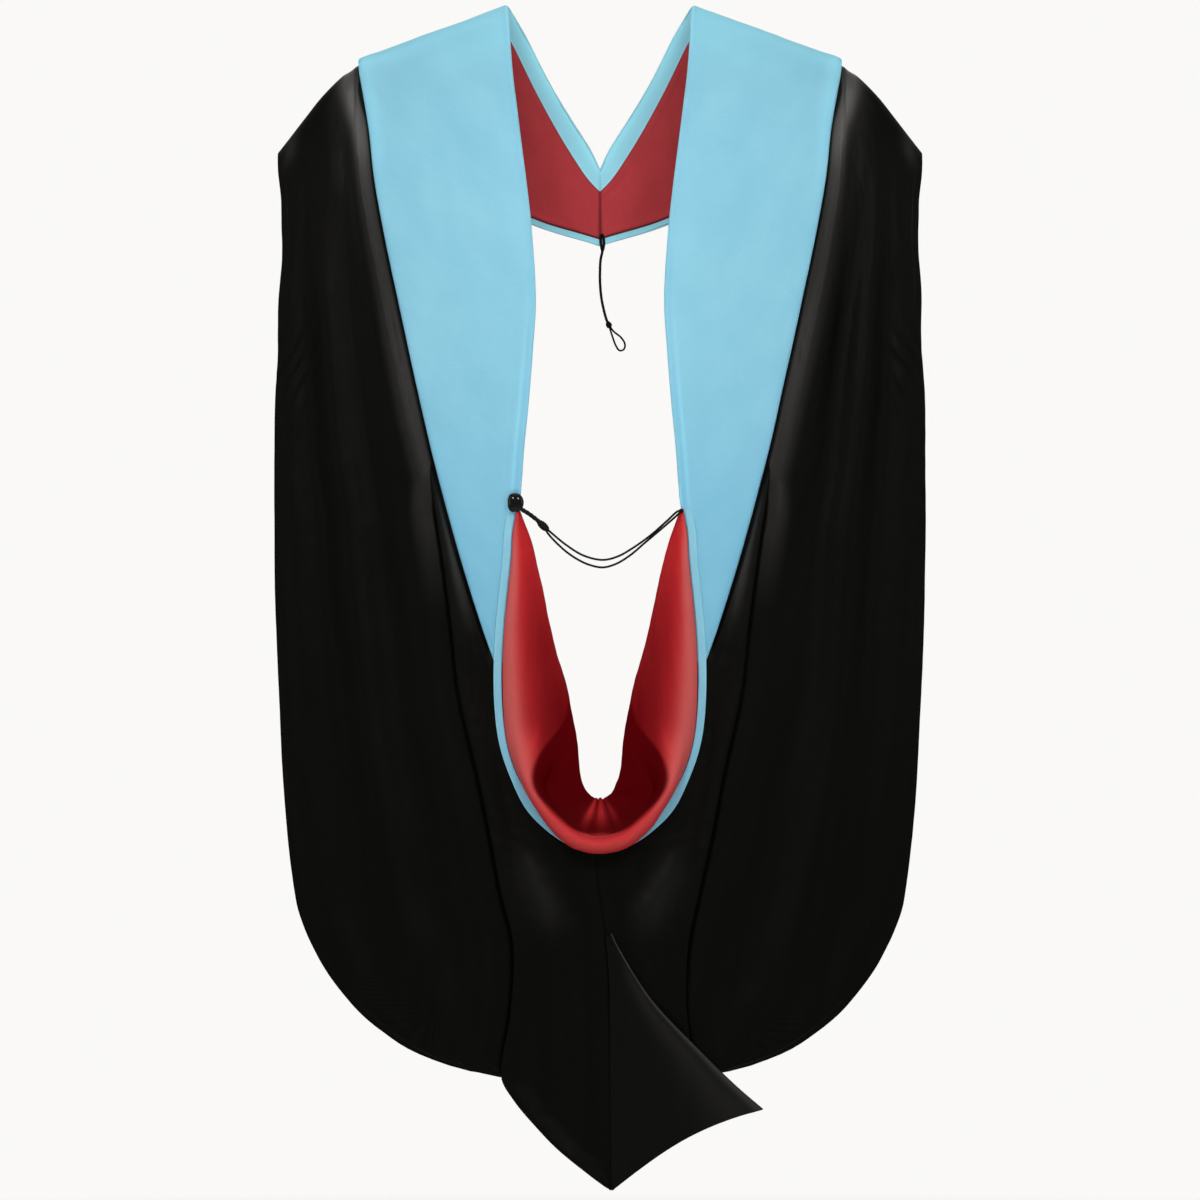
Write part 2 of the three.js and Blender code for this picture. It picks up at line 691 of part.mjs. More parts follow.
function make_button() {
  const half = button_thickness / 2;
  const profile = [
    new THREE.Vector2(0, -half - button_shank),
    new THREE.Vector2(0.12, -half - button_shank),
    new THREE.Vector2(0.12, -half),
    new THREE.Vector2(0.38, -half),
    new THREE.Vector2(0.5, -half * 0.35),
    new THREE.Vector2(0.48, half * 0.3),
    new THREE.Vector2(0.32, half * 0.85),
    new THREE.Vector2(0, half),
  ];
  const lathe = outward(new THREE.LatheGeometry(profile, 16));
  lathe.rotateX(Math.PI);
  lathe.scale(button_width, 1, button_height);
  const seat = back_point(1, -0.2569, 0.4188, velvet_wall / 2 + 2 * gap + half + button_shank);
  const mesh = add_piece("button", outward(lathe), "gloss_black");
  mesh.position.copy(seat);
}

function cord(name, points, diameter, spacing) {
  const path = new THREE.CatmullRomCurve3(points.map((p) => new THREE.Vector3(...p)), false, "centripetal");
  const section = new THREE.Shape();
  const sides = 8;
  for (let k = 0; k < sides; k += 1) {
    const angle = (2 * Math.PI * k) / sides;
    const x = Math.cos(angle) * diameter / 2;
    const y = Math.sin(angle) * diameter / 2;
    if (k === 0) {
      section.moveTo(x, y);
    } else {
      section.lineTo(x, y);
    }
  }
  section.closePath();
  const count = Math.max(2, Math.round(path.getLength() / spacing));
  const body = new THREE.ExtrudeGeometry(section, { extrudePath: path, steps: count, bevelEnabled: false });
  add_piece(name, outward(body), "cord");
}

function bead(name, centre, length, diameter, tilt) {
  const profile = [
    new THREE.Vector2(0, -0.5 * length),
    new THREE.Vector2(0.30 * diameter, -0.46 * length),
    new THREE.Vector2(0.48 * diameter, -0.22 * length),
    new THREE.Vector2(0.5 * diameter, 0.05 * length),
    new THREE.Vector2(0.42 * diameter, 0.32 * length),
    new THREE.Vector2(0.24 * diameter, 0.48 * length),
    new THREE.Vector2(0, 0.5 * length),
  ];
  const mesh = add_piece(name, outward(new THREE.LatheGeometry(profile, 10)), "cord");
  mesh.position.set(...centre);
  mesh.rotation.set(0, tilt, 0);
  mesh.rotateX(Math.PI / 2);
}

// Route of the cords, chosen by hand
const twist_route = [[-80.3, -96.6, -517.4], [-73.6, -97.6, -521.6], [-64.1, -98.4, -528.8]];
const slide_knot_place = [-58.4, -98.6, -534.3];
const upper_route = [
  [-52.2, -98.4, -539.6], [-35, -97.5, -553.8], [-16.5, -96, -565], [3.1, -95.5, -569.3],
  [18.6, -96, -565.6],
  [34, -97.2, -556.9], [52.6, -98, -543.5], [69.1, -96.8, -529], [80.2, -96.0, -519.2],
];
const lower_route = [
  [-54.2, -99.3, -541.1], [-37.1, -98.2, -558.9], [-22.7, -97.2, -569], [-10.3, -96.8, -574.6],
  [3.1, -96.6, -577],
  [16.5, -96.8, -573.4], [30.9, -97.4, -564.6], [46.4, -98, -551.5], [62, -97.4, -538.4],
  [80.9, -96.0, -521.8],
];
const bar_route = [[1.5, 116.5, -226.9], [2, 117.5, -234], [2.6, 119.0, -243.4]];
const front_route = [
  [2.6, 119.3, -244.0], [0.6, 120.0, -254], [0, 120, -265], [0, 119.8, -276.4], [1.5, 119.5, -293.9],
  [4.6, 119.3, -308.8], [7.2, 119.3, -317.5],
];
const loop_route = [
  [10.5, 119.3, -326.2], [12.2, 118.6, -331.5], [16.6, 118.4, -343.6], [20.6, 118.8, -348.8],
  [24.9, 119.3, -347.6], [26.2, 119.6, -342.4], [22.4, 120.2, -335.4], [14.2, 120.6, -328.6],
];
const tack_place = [83.4, -95.6, -519.0];
const front_knot_place = [9.3, 119.3, -321.9];

function make_cords() {
  cord("cord_twist", twist_route, twist_diameter, twist_diameter);
  bead("slide_knot", slide_knot_place, knot_length, knot_diameter, 2.25);
  cord("cord_upper", upper_route, strand_diameter, 3 * strand_diameter);
  cord("cord_lower", lower_route, strand_diameter, 3 * strand_diameter);
  bead("cord_tack", tack_place, tack_diameter, tack_diameter, 0.8);
  cord("front_loop_bar", bar_route, front_cord_diameter * 1.3, 4);
  cord("front_cord", front_route, front_cord_diameter, 2.5 * front_cord_diameter);
  bead("front_knot", front_knot_place, front_knot_diameter * 1.1, front_knot_diameter, 2.75);
  cord("front_loop", loop_route, loop_diameter, 2 * loop_diameter);
}

for (const [side, name] of [[-1, "left"], [1, "right"]]) {
  make_velvet(side, `velvet_${name}`);
  make_band_lining(side, `band_lining_${name}`);
  make_neck_hem(side, `neck_hem_${name}`);
  make_front_edge(side, `front_edge_${name}`);
  make_wing(side, `wing_${name}`, side < 0 ? panel_outer_left : panel_outer_right);
}
const panel_downs = [
  panel_start + 2 * seam_step, 0.43, 0.465, 0.5, 0.53, 0.552, 0.565, 0.59, 0.62, 0.643, 0.66, 0.675,
  0.69, 0.70, 0.708, 0.73, 0.76, 0.79,
];
make_back_panel(-1, "back_panel_left", panel_outer_left, [
  ...panel_downs, 0.82, 0.85, 0.88, 0.903, 0.914, 0.924, 0.936, 0.949, 0.966, 0.978, 0.988, 0.9965,
]);
make_back_panel(1, "back_panel_right", panel_outer_right, [...panel_downs, 0.81, 0.83, 0.85, 0.868]);
make_tail_turn("tail_turn");
make_cowl_lining("cowl_lining");
make_cowl_edge("cowl_edge");
make_button();
make_cords();

export default hood;
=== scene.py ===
import math

import bpy
import numpy as np
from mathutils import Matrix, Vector


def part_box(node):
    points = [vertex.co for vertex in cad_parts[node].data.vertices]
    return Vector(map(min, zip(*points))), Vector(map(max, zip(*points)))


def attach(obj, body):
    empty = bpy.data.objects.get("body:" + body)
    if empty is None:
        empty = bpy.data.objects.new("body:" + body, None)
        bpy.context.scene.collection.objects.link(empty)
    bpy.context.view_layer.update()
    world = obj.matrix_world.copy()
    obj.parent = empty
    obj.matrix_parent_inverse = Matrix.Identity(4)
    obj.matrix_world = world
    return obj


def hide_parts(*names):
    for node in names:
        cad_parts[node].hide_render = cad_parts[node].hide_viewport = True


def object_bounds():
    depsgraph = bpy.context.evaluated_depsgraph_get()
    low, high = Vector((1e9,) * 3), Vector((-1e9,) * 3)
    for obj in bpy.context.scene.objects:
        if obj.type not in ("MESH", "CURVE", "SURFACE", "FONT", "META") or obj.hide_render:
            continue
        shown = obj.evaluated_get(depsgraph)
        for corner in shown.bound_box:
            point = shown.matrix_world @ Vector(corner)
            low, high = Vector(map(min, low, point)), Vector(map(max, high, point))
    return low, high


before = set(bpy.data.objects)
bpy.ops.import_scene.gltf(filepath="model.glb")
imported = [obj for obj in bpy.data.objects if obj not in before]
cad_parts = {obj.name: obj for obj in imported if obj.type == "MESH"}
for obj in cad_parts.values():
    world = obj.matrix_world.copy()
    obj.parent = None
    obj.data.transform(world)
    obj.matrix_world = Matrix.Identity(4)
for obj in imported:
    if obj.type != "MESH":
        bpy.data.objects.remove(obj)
cad_low, cad_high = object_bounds()

# Sizes in metres. The two overall sizes come from the frame, and the tables below are shares of them.
mm = 0.001
hood_length = round(-cad_low.z, 3)
half_width = round(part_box("wing_right")[1].x, 3)
back_depth = 95 * mm
side_fall = 0.72
shoulder_drop = 110 * mm
front_depth = 125 * mm

velvet_wall = 2.4 * mm
satin_wall = 1.5 * mm
lining_wall = 1.2 * mm
hem_wall = 1.6 * mm
gap = 0.3 * mm
layer_room = 0.9 * mm
seam_share = 2 * gap / half_width

fold_lift = 9 * mm
fold_turn = 14 * mm
least_fold = 4.2 * mm
roll_height = 30 * mm
strip_width = 8.3 * mm
neck_hem_width = 18.5 * mm
edge_hem_width = 9 * mm
ridge_inset = 20 * mm
edge_roll = 2.4 * mm
front_roll = 2.8 * mm
chest_rise = 5 * mm
chest_hem = 4.6 * mm
chest_roll = 3 * mm
edge_hem_start = 0.25
band_inside_end = 0.413
hem_inset = 1.5 * mm
hem_overlap = 1.4 * mm
velvet_corner = 1.6 * mm
seam_tuck = 3.4 * mm
seam_dip = 4.75 * mm
wing_hem = 11 * mm

strand_diameter = 1.9 * mm
twist_diameter = 4.2 * mm
front_cord_diameter = 2.4 * mm
loop_diameter = 1.7 * mm
slide_knot_length = 15 * mm
slide_knot_radius = 4.1 * mm
slide_knot_wraps = 6
bar_overlap = 1.6 * mm

# The photograph's square frame, measured on the hood
photo_pixels = 1200
photo_hood_top = 8
photo_hood_height = 1182
photo_side = photo_pixels / photo_hood_height * hood_length
lens = 300
sensor = 36
focus_depth = -60 * mm


def rows(names, *values):
    columns = np.array(values, float).T
    return dict(zip(names.split(), columns)) | {"key": columns[0]}


# Top line of the cloth over the shoulders
top_line = rows(
    "out drop",
    (0.281, -0.0042), (0.468, 0.0150), (0.590, 0.0278), (0.676, 0.0363), (0.745, 0.0440), (0.752, 0.0492),
    (0.793, 0.0567), (0.855, 0.0736), (0.904, 0.0905), (0.951, 0.1074), (0.991, 0.1218),
)

# How far the cloth stands behind the ridge along the middle of the back
back_profile = rows(
    "down depth",
    (0, 0.62), (0.085, 0.76), (0.212, 0.93), (0.338, 1.0), (0.508, 0.95), (0.677, 0.90), (0.804, 0.86),
    (1.0, 0.80),
)

velvet_inner = rows(
    "down out",
    (0, 0.281), (0.052, 0.269), (0.093, 0.251), (0.152, 0.223), (0.190, 0.208), (0.247, 0.196),
    (0.289, 0.205), (0.332, 0.217), (0.374, 0.232), (0.412, 0.243), (0.427, 0.257), (0.471, 0.258),
    (0.522, 0.270), (0.552, 0.288),
)
velvet_outer = rows(
    "down out",
    (0.046, 0.748), (0.102, 0.711), (0.145, 0.693), (0.188, 0.665), (0.247, 0.620), (0.315, 0.566),
    (0.371, 0.520), (0.421, 0.473), (0.471, 0.422), (0.519, 0.367), (0.552, 0.325),
)

# Front of the neckband from the shoulder ridge to the middle of the chest
neck_front = rows(
    "along out down fore edge_out edge_down edge_fore",
    (0, 0.281, 0, 0, 0.748, 0.046, 0),
    (0.2, 0.239, 0.021, 0.21, 0.70, 0.082, 0.27),
    (0.4, 0.171, 0.057, 0.46, 0.59, 0.121, 0.54),
    (0.6, 0.107, 0.087, 0.68, 0.42, 0.155, 0.78),
    (0.8, 0.043, 0.115, 0.84, 0.208, 0.183, 0.95),
    (1, 0, 0.1345, 0.88, 0, 0.20, 1.0),
)

wing_outer = rows(
    "down out",
    (0.1218, 0.991), (0.135, 0.985), (0.162, 0.979), (0.213, 0.979), (0.332, 0.997), (0.395, 1.0),
    (0.501, 0.998), (0.585, 0.985), (0.670, 0.969), (0.755, 0.934), (0.780, 0.906), (0.805, 0.862),
    (0.822, 0.823), (0.839, 0.774), (0.852, 0.730), (0.865, 0.673), (0.882, 0.578), (0.893, 0.478),
    (0.899, 0.397), (0.902, 0.346), (0.9036, 0.302),
)
panel_upper_part = ((0.365, 0.528), (0.408, 0.511), (0.464, 0.480), (0.520, 0.453), (0.580, 0.428))
panel_outer_left = rows(
    "down out",
    *panel_upper_part, (0.653, 0.367), (0.695, 0.336), (0.748, 0.300), (0.792, 0.263), (0.850, 0.272),
    (0.903, 0.300), (0.924, 0.260), (0.949, 0.183), (0.966, 0.122), (0.987, 0.0275), (1.0, -0.036),
)
panel_outer_right = rows(
    "down out",
    *panel_upper_part, (0.653, 0.370), (0.695, 0.342), (0.748, 0.300), (0.792, 0.268), (0.840, 0.262),
    (0.876, 0.275), (0.890, 0.282),
)
panel_inner = rows(
    "down out",
    (0.552, 0.325), (0.565, 0.300), (0.590, 0.282), (0.618, 0.266), (0.643, 0.239), (0.665, 0.196),
    (0.684, 0.146), (0.698, 0.088), (0.708, 0),
)
centre_seam = rows(
    "down out",
    (0.700, -0.003), (0.729, -0.009), (0.786, 0.018), (0.822, 0.028), (0.992, 0.034), (1.0, 0.038),
)

# Fold edge of the tail's turned right half
turn_fold = rows(
    "along out down",
    (0, 0.028, 0.778), (0.14, 0.061, 0.797), (0.34, 0.159, 0.839), (0.60, 0.306, 0.882),
    (0.82, 0.413, 0.911), (1, 0.498, 0.9315),
)

# Turned-out cowl from its upper end to the middle of its foot
cowl_path = rows(
    "along out down lip_out lip_down roll foot",
    (0, 0.266, 0.4225, 0.243, 0.4225, 0.05, 0),
    (0.10, 0.268, 0.459, 0.205, 0.459, 0.18, 0),
    (0.20, 0.281, 0.494, 0.174, 0.494, 0.30, 0),
    (0.31, 0.294, 0.533, 0.144, 0.535, 0.40, 0),
    (0.44, 0.297, 0.579, 0.101, 0.577, 0.50, 0),
    (0.55, 0.284, 0.618, 0.072, 0.620, 0.60, 0.10),
    (0.63, 0.257, 0.643, 0.063, 0.646, 0.70, 0.25),
    (0.71, 0.217, 0.665, 0.049, 0.660, 0.80, 0.45),
    (0.79, 0.171, 0.684, 0.035, 0.665, 0.90, 0.70),
    (0.87, 0.125, 0.701, 0.021, 0.6675, 1.0, 0.90),
    (0.94, 0.070, 0.7115, 0.011, 0.669, 1.0, 1),
    (1, 0, 0.715, 0, 0.669, 1.0, 1),
)

# Section of the cowl's lining at its side and at its foot
cowl_section = rows(
    "u side_across side_lift foot_across foot_lift clear",
    *((k / 11, *row) for k, row in enumerate((
        (0.00, 0.00, 0.16, 0.00, 1), (0.08, 0.45, 0.02, 0.28, 1), (0.18, 0.85, 0.01, 0.70, 1),
        (0.30, 0.95, 0.13, 1.00, 1), (0.48, 0.70, 0.30, 0.85, 1), (0.66, 0.25, 0.33, 0.40, 1),
        (0.84, -0.10, 0.30, 0.00, 0.7), (0.98, -0.22, 0.75, -0.22, 0), (1.00, -0.32, 1.00, -0.34, -0.4),
        (0.90, -0.40, 0.90, -0.46, -1), (0.50, -0.26, 0.35, -0.30, -1), (-0.06, 0.00, -0.20, 0.00, -1),
    ))),
)

# How much painted shade the cowl's lining gets across its flap; how much of that holds along it, and where
# its darker painted pocket shade starts
flap_shade = rows(
    "across shade",
    (0, 0), (0.12, 0), (0.28, 0.30), (0.42, 0.50), (0.55, 0.68), (0.7, 0.82), (0.85, 0.88), (1.0, 0.84),
)
pocket_edge = rows(
    "along strength across soft",
    (0, 0, 1.2, 0.3), (0.10, 0.3, 1.1, 0.3), (0.27, 0.75, 1.05, 0.3), (0.40, 0.9, 0.94, 0.26),
    (0.50, 1, 0.76, 0.16), (0.57, 1, 0.44, 0.10), (0.63, 1, 0.22, 0.08), (0.69, 1, 0.11, 0.07),
    (0.77, 1, 0.14, 0.06), (0.86, 1, 0.23, 0.06), (1, 1, 0.34, 0.05),
)

# Section of a folded panel: out to the fold, round it and back under as a hem
fold_section = rows(
    "u across over turned",
    (0, 0, 1, 0), (0.3, 0.45, 1, 0), (0.6, 0.82, 1, 0), (0.75, 0.95, 1, 0), (0.82, 1.0, 0.86, 0),
    (0.88, 1.0, 0.5, 0.06), (1, 1.0, 0, 1),
)

# Routes of the cords in metres
twist_start = (-0.0852, -0.0950, -0.5132)
twist_route = [(-0.0803, -0.0966, -0.5174), (-0.0736, -0.0976, -0.5216), (-0.0641, -0.0984, -0.5288)]
slide_knot_place = (-0.0584, -0.0986, -0.5343)
upper_route = [
    (-0.0522, -0.0984, -0.5396), (-0.0350, -0.0975, -0.5538), (-0.0165, -0.0960, -0.5650),
    (0.0031, -0.0955, -0.5693), (0.0186, -0.0960, -0.5656), (0.0340, -0.0972, -0.5569),
    (0.0526, -0.0980, -0.5435), (0.0691, -0.0968, -0.5290), (0.0802, -0.0960, -0.5192),
]
lower_route = [
    (-0.0542, -0.0993, -0.5411), (-0.0371, -0.0982, -0.5589), (-0.0227, -0.0972, -0.5690),
    (-0.0103, -0.0968, -0.5746), (0.0031, -0.0966, -0.5770), (0.0165, -0.0968, -0.5734),
    (0.0309, -0.0974, -0.5646), (0.0464, -0.0980, -0.5515), (0.0620, -0.0974, -0.5384),
    (0.0809, -0.0960, -0.5218),
]
bar_route = [
    (0.0014, 0.1163, -0.2262), (0.0006, 0.1172, -0.2310), (0.0010, 0.1182, -0.2380),
    (0.0026, 0.1190, -0.2440), (0.0041, 0.1182, -0.2378), (0.0037, 0.1172, -0.2308),
    (0.0022, 0.1163, -0.2262),
]
front_route = [
    (0.0026, 0.1193, -0.2440), (0.0006, 0.1200, -0.2540), (0.0000, 0.1200, -0.2650),
    (0.0000, 0.1198, -0.2764), (0.0015, 0.1195, -0.2939), (0.0046, 0.1193, -0.3088),
    (0.0072, 0.1193, -0.3175),
]
loop_route = [
    (0.0105, 0.1193, -0.3262), (0.0122, 0.1186, -0.3315), (0.0166, 0.1184, -0.3436),
    (0.0206, 0.1188, -0.3488), (0.0249, 0.1193, -0.3476), (0.0262, 0.1196, -0.3424),
    (0.0224, 0.1202, -0.3354), (0.0142, 0.1206, -0.3286),
]
tack_place = (0.0834, -0.0956, -0.5190)
front_knot_place = (0.0093, 0.1193, -0.3219)


# Camera at the photograph's viewing angle: level, straight at the hood's back
def make_camera():
    data = bpy.data.cameras.new("camera")
    data.lens = lens
    data.sensor_width = sensor
    data.clip_end = 100
    camera = bpy.data.objects.new("camera", data)
    middle = (photo_hood_top - photo_pixels / 2) / photo_hood_height * hood_length
    camera.location = (0, focus_depth - photo_side * lens / sensor, middle)
    camera.rotation_euler = (math.pi / 2, 0, 0)
    bpy.context.scene.collection.objects.link(camera)
    bpy.context.scene.camera = camera


make_camera()


# Curves through tables and smooth steps
def along(table, column, value):
    keys, values = table["key"], table[column]
    value = np.clip(np.asarray(value, float), keys[0], keys[-1])
    i = np.clip(np.searchsorted(keys, value) - 1, 0, len(keys) - 2)
    place = np.arange(len(keys))
    before = np.maximum(place - 1, 0)
    after = np.minimum(place + 1, len(keys) - 1)
    slope = (values[after] - values[before]) / (keys[after] - keys[before])
    step = keys[i + 1] - keys[i]
    rise = values[i + 1] - values[i]
    limit = 3 * np.abs(rise / step)
    start = np.clip(slope[i], -limit, limit) * step
    end = np.clip(slope[i + 1], -limit, limit) * step
    t = (value - keys[i]) / step
    return values[i] + t * (start + t * (3 * rise - 2 * start - end + t * (start + end - 2 * rise)))


def blend(a, b, t):
    return a + (b - a) * t


def ease(start, end, value):
    t = np.clip((value - start) / (end - start), 0, 1)
    return t * t * (3 - 2 * t)


def fall(start, end, value):
    return 1 - ease(start, end, value)


def bell(value, middle, width):
    return np.exp(-(((value - middle) / width) ** 2))


# Even steps as a column down a cloth or as a row across it, and angles as a row round a ring
def down_steps(start, end, count):
    return np.linspace(start, end, count)[:, None]


def across_steps(start, end, count):
    return np.linspace(start, end, count)[None]


def ring_angles(sides):
    return 2 * math.pi * np.arange(sides)[None] / sides


# Seeded mix of sine waves, for soft unevenness
def ripple(seed, x, y, wavelength, waves=7):
    draw = np.random.RandomState(seed)
    total = np.zeros(np.broadcast(x, y).shape)
    for _ in range(waves):
        angle, phase = draw.uniform(0, 2 * math.pi, 2)
        turns = 2 * math.pi / (wavelength * draw.uniform(0.7, 1.4))
        total = total + np.sin((x * math.cos(angle) + y * math.sin(angle)) * turns + phase)
    return total / math.sqrt(waves)


def back_point(out, down, lift):
    out, down, lift = np.broadcast_arrays(out, down, lift)
    below = np.maximum(0, down - along(top_line, "drop", np.abs(out))) * hood_length
    turn = 1 - np.minimum(1, below / shoulder_drop)
    round_share = np.sqrt(np.maximum(0, 1 - turn**2))
    depth = back_depth * along(back_profile, "depth", down)
    y = -depth * (1 - side_fall * out**2) * round_share
    return np.stack([out * half_width, y - lift * round_share, lift * turn - down * hood_length], axis=-1)


# Closed bodies from grids of points
def normals_of(grid):
    across = np.gradient(grid, axis=1)
    down = np.gradient(grid, axis=0)
    normal = np.cross(down, across)
    length = np.linalg.norm(normal, axis=-1, keepdims=True)
    return normal / np.maximum(length, 1e-12)


def unit(vectors):
    return vectors / np.maximum(np.linalg.norm(vectors, axis=-1, keepdims=True), 1e-12)


def arc_lengths(grid, axis):
    steps = np.linalg.norm(np.diff(grid, axis=axis), axis=-1)
    start = np.zeros_like(np.take(steps, [0], axis=axis))
    return np.cumsum(np.concatenate([start, steps], axis=axis), axis=axis)


def loop_of(array):
    return np.concatenate([array[0, :-1], array[:-1, -1], array[-1, :0:-1], array[:0:-1, 0]])


rim_steps = 4
back_face_shift = 0.5


def sheet_body(grid, wall, inset=True):
    """Points and faces of a closed sheet with rounded rims around a grid of middle points."""
    wall = np.broadcast_to(wall, grid.shape[:2])[..., None]
    outward = np.zeros_like(grid)
    across = unit(np.gradient(grid, axis=1))
    down = unit(np.gradient(grid, axis=0))
    outward[0] -= down[0]
    outward[-1] += down[-1]
    outward[:, 0] -= across[:, 0]
    outward[:, -1] += across[:, -1]
    outward = unit(outward)
    normal = normals_of(grid)
    if inset:
        grid = grid - outward * wall / 2
    count = grid.shape[0] * grid.shape[1]
    index = np.arange(count).reshape(grid.shape[:2])
    points = [(grid + normal * wall / 2).reshape(-1, 3), (grid - normal * wall / 2).reshape(-1, 3)]
    corners = [index[:-1, :-1], index[:-1, 1:], index[1:, 1:], index[1:, :-1]]
    front = np.stack(corners, axis=-1).reshape(-1, 4)
    faces = [front, front[:, ::-1] + count]
    loop = loop_of(index)
    rings = [loop]
    edge, side, half = loop_of(grid), loop_of(outward), loop_of(wall) / 2
    for k in range(1, rim_steps):
        angle = math.pi * k / rim_steps
        points.append(edge + half * (side * math.sin(angle) + loop_of(normal) * math.cos(angle)))
        rings.append(2 * count + (k - 1) * len(loop) + np.arange(len(loop)))
    rings.append(loop + count)
    for upper, lower in zip(rings[:-1], rings[1:]):
        faces.append(np.stack([np.roll(upper, -1), upper, lower, np.roll(lower, -1)], axis=-1))
    source = np.concatenate([np.tile(np.arange(count), 2), np.tile(loop, rim_steps - 1)])
    return np.concatenate(points), np.concatenate(faces), source


def ring_faces(rings, sides, capped=True):
    """Quads round a stack of rings and, where it is capped, across its two end rings."""
    index = np.arange(rings * sides).reshape(rings, sides)
    a, b = index[:-1], index[1:]
    faces = np.stack([a, np.roll(a, -1, 1), np.roll(b, -1, 1), b], axis=-1).reshape(-1, 4)
    if not capped:
        return faces
    caps = []
    for ring in (index[0], index[-1][::-1]):
        for k in range(sides // 2 - 1):
            caps.append([ring[k], ring[k + 1], ring[-2 - k], ring[-1 - k]][::-1])
    return np.concatenate([faces, np.array(caps)])


def outward_faces(points, faces):
    a, b, c, d = (points[faces[:, k]] for k in range(4))
    volume = np.sum(a * np.cross(b, c)) + np.sum(a * np.cross(c, d))
    return faces if volume > 0 else faces[:, ::-1]


def add_mesh(name, points, faces, marks=None):
    """A smooth mesh of quads; marks are named numbers on its points, kept as attributes."""
    faces = outward_faces(points, faces)
    mesh = bpy.data.meshes.new(name)
    mesh.vertices.add(len(points))
    mesh.vertices.foreach_set("co", points.astype(np.float32).ravel())
    mesh.loops.add(faces.size)
    mesh.loops.foreach_set("vertex_index", faces.astype(np.int32).ravel())
    mesh.polygons.add(len(faces))
    mesh.polygons.foreach_set("loop_start", np.arange(0, faces.size, 4, dtype=np.int32))
    mesh.update(calc_edges=True)
    mesh.validate()
    mesh.polygons.foreach_set("use_smooth", np.ones(len(mesh.polygons), bool))
    for key, values in (marks or {}).items():
        kind, field = ("FLOAT_VECTOR", "vector") if values.ndim == 2 else ("FLOAT", "value")
        mesh.attributes.new(key, kind, "POINT").data.foreach_set(field, values.astype(np.float32).ravel())
    piece = bpy.data.objects.new(name, mesh)
    bpy.context.scene.collection.objects.link(piece)
    return piece


def add_cloth(name, slot, grid, wall, side=1, inset=True, shade=0.0, gleam=0.0):
    """The closed cloth that stands for a node, and its grid before it is mirrored to its side. Its points
    keep "cloth", their own lengths across and along it, "shade", painted shade in folds, seams and hollows,
    and the dark stitches of the centre seam, and the painted highlight mark, a lighter colour painted where
    light would catch it."""
    mirrored = grid * np.array([side, 1, 1])
    points, faces, source = sheet_body(mirrored, wall, inset)
    lengths = np.stack([arc_lengths(mirrored, 1), arc_lengths(mirrored, 0)], axis=-1).reshape(-1, 2)[source]
    count = grid.shape[0] * grid.shape[1]
    behind = np.zeros(len(points))
    behind[count: 2 * count] = back_face_shift
    marks = {"cloth": np.column_stack([lengths, behind])}
    for key, values in (("shade", shade), ("gleam", gleam)):
        marks[key] = np.clip(np.broadcast_to(values, grid.shape[:2]), 0, 1).reshape(-1)[source]
    return place(add_mesh(name + "_cloth", points, faces, marks), slot, name), grid


# The area of a grid, and the flat width and length of the cloth that it was cut from
def flat_size(grid):
    across, down = arc_lengths(grid, 1)[:, -1], arc_lengths(grid, 0)[-1]
    a, b, c, d = grid[:-1, :-1], grid[:-1, 1:], grid[1:, 1:], grid[1:, :-1]
    area = 0.5 * np.linalg.norm(np.cross(b - a, c - a), axis=-1).sum()
    area += 0.5 * np.linalg.norm(np.cross(c - a, d - a), axis=-1).sum()
    return (round(float(across.max()), 3), round(float(down.max()), 3)), round(float(area), 4)


def declare_sheet(grid):
    flat, area = flat_size(grid)
    area = min(max(area, 0.301 * flat[0] * flat[1]), flat[0] * flat[1])


def place(piece, slot, stands_for):
    piece.data.materials.append(materials[slot])
    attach(piece, "root")
    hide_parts(stands_for)
    return piece


# Materials
def node(tree, kind, inputs=None, **settings):
    made = tree.nodes.new(kind)
    for key, value in settings.items():
        setattr(made, key, value)
    for key, value in (inputs or {}).items():
        if isinstance(value, bpy.types.NodeSocket):
            tree.links.new(value, made.inputs[key])
        else:
            made.inputs[key].default_value = value
    return made


def start_material(name, **shader):
    material = bpy.data.materials.new(name)
    material.use_nodes = True
    tree = material.node_tree
    principled = tree.nodes["Principled BSDF"]
    for key, value in shader.items():
        principled.inputs[key.replace("_", " ")].default_value = value
    return material, tree, principled


def stretched(tree, source, scale):
    return node(tree, "ShaderNodeMapping", {"Vector": source, "Scale": scale}).outputs["Vector"]


def noise(tree, source, scale, detail=2.0, roughness=0.5):
    inputs = {"Vector": source, "Scale": scale, "Detail": detail, "Roughness": roughness}
    return node(tree, "ShaderNodeTexNoise", inputs).outputs["Fac"]


def tones(tree, factor, dark, light, low=0.3, high=0.7):
    """A colour between two measured ones, by how far the factor has come from low to high."""
    made = node(tree, "ShaderNodeValToRGB", {"Fac": factor})
    for element, position, colour in zip(made.color_ramp.elements, (low, high), (dark, light)):
        element.position = position
        element.color = (*linear(*colour), 1)
    return made.outputs["Color"]


def mixed(tree, factor, a, b):
    made = node(tree, "ShaderNodeMix", data_type="RGBA")
    for key, value in (("Factor", factor), ("A", a), ("B", b)):
        kind = "VALUE" if key == "Factor" else "RGBA"
        socket = next(s for s in made.inputs if s.name == key and s.type == kind)
        if isinstance(value, bpy.types.NodeSocket):
            tree.links.new(value, socket)
        else:
            socket.default_value = value if key == "Factor" else (*value, 1)
    return next(s for s in made.outputs if s.type == "RGBA")


def ranged(tree, value, low, high, socket):
    """Feeds a socket with a number from low to high, by a share."""
    made = node(tree, "ShaderNodeMapRange", {"Value": value, "To Min": low, "To Max": high})
    tree.links.new(made.outputs["Result"], socket)


def maths(tree, operation, a, b):
    return node(tree, "ShaderNodeMath", {0: a, 1: b}, operation=operation).outputs[0]


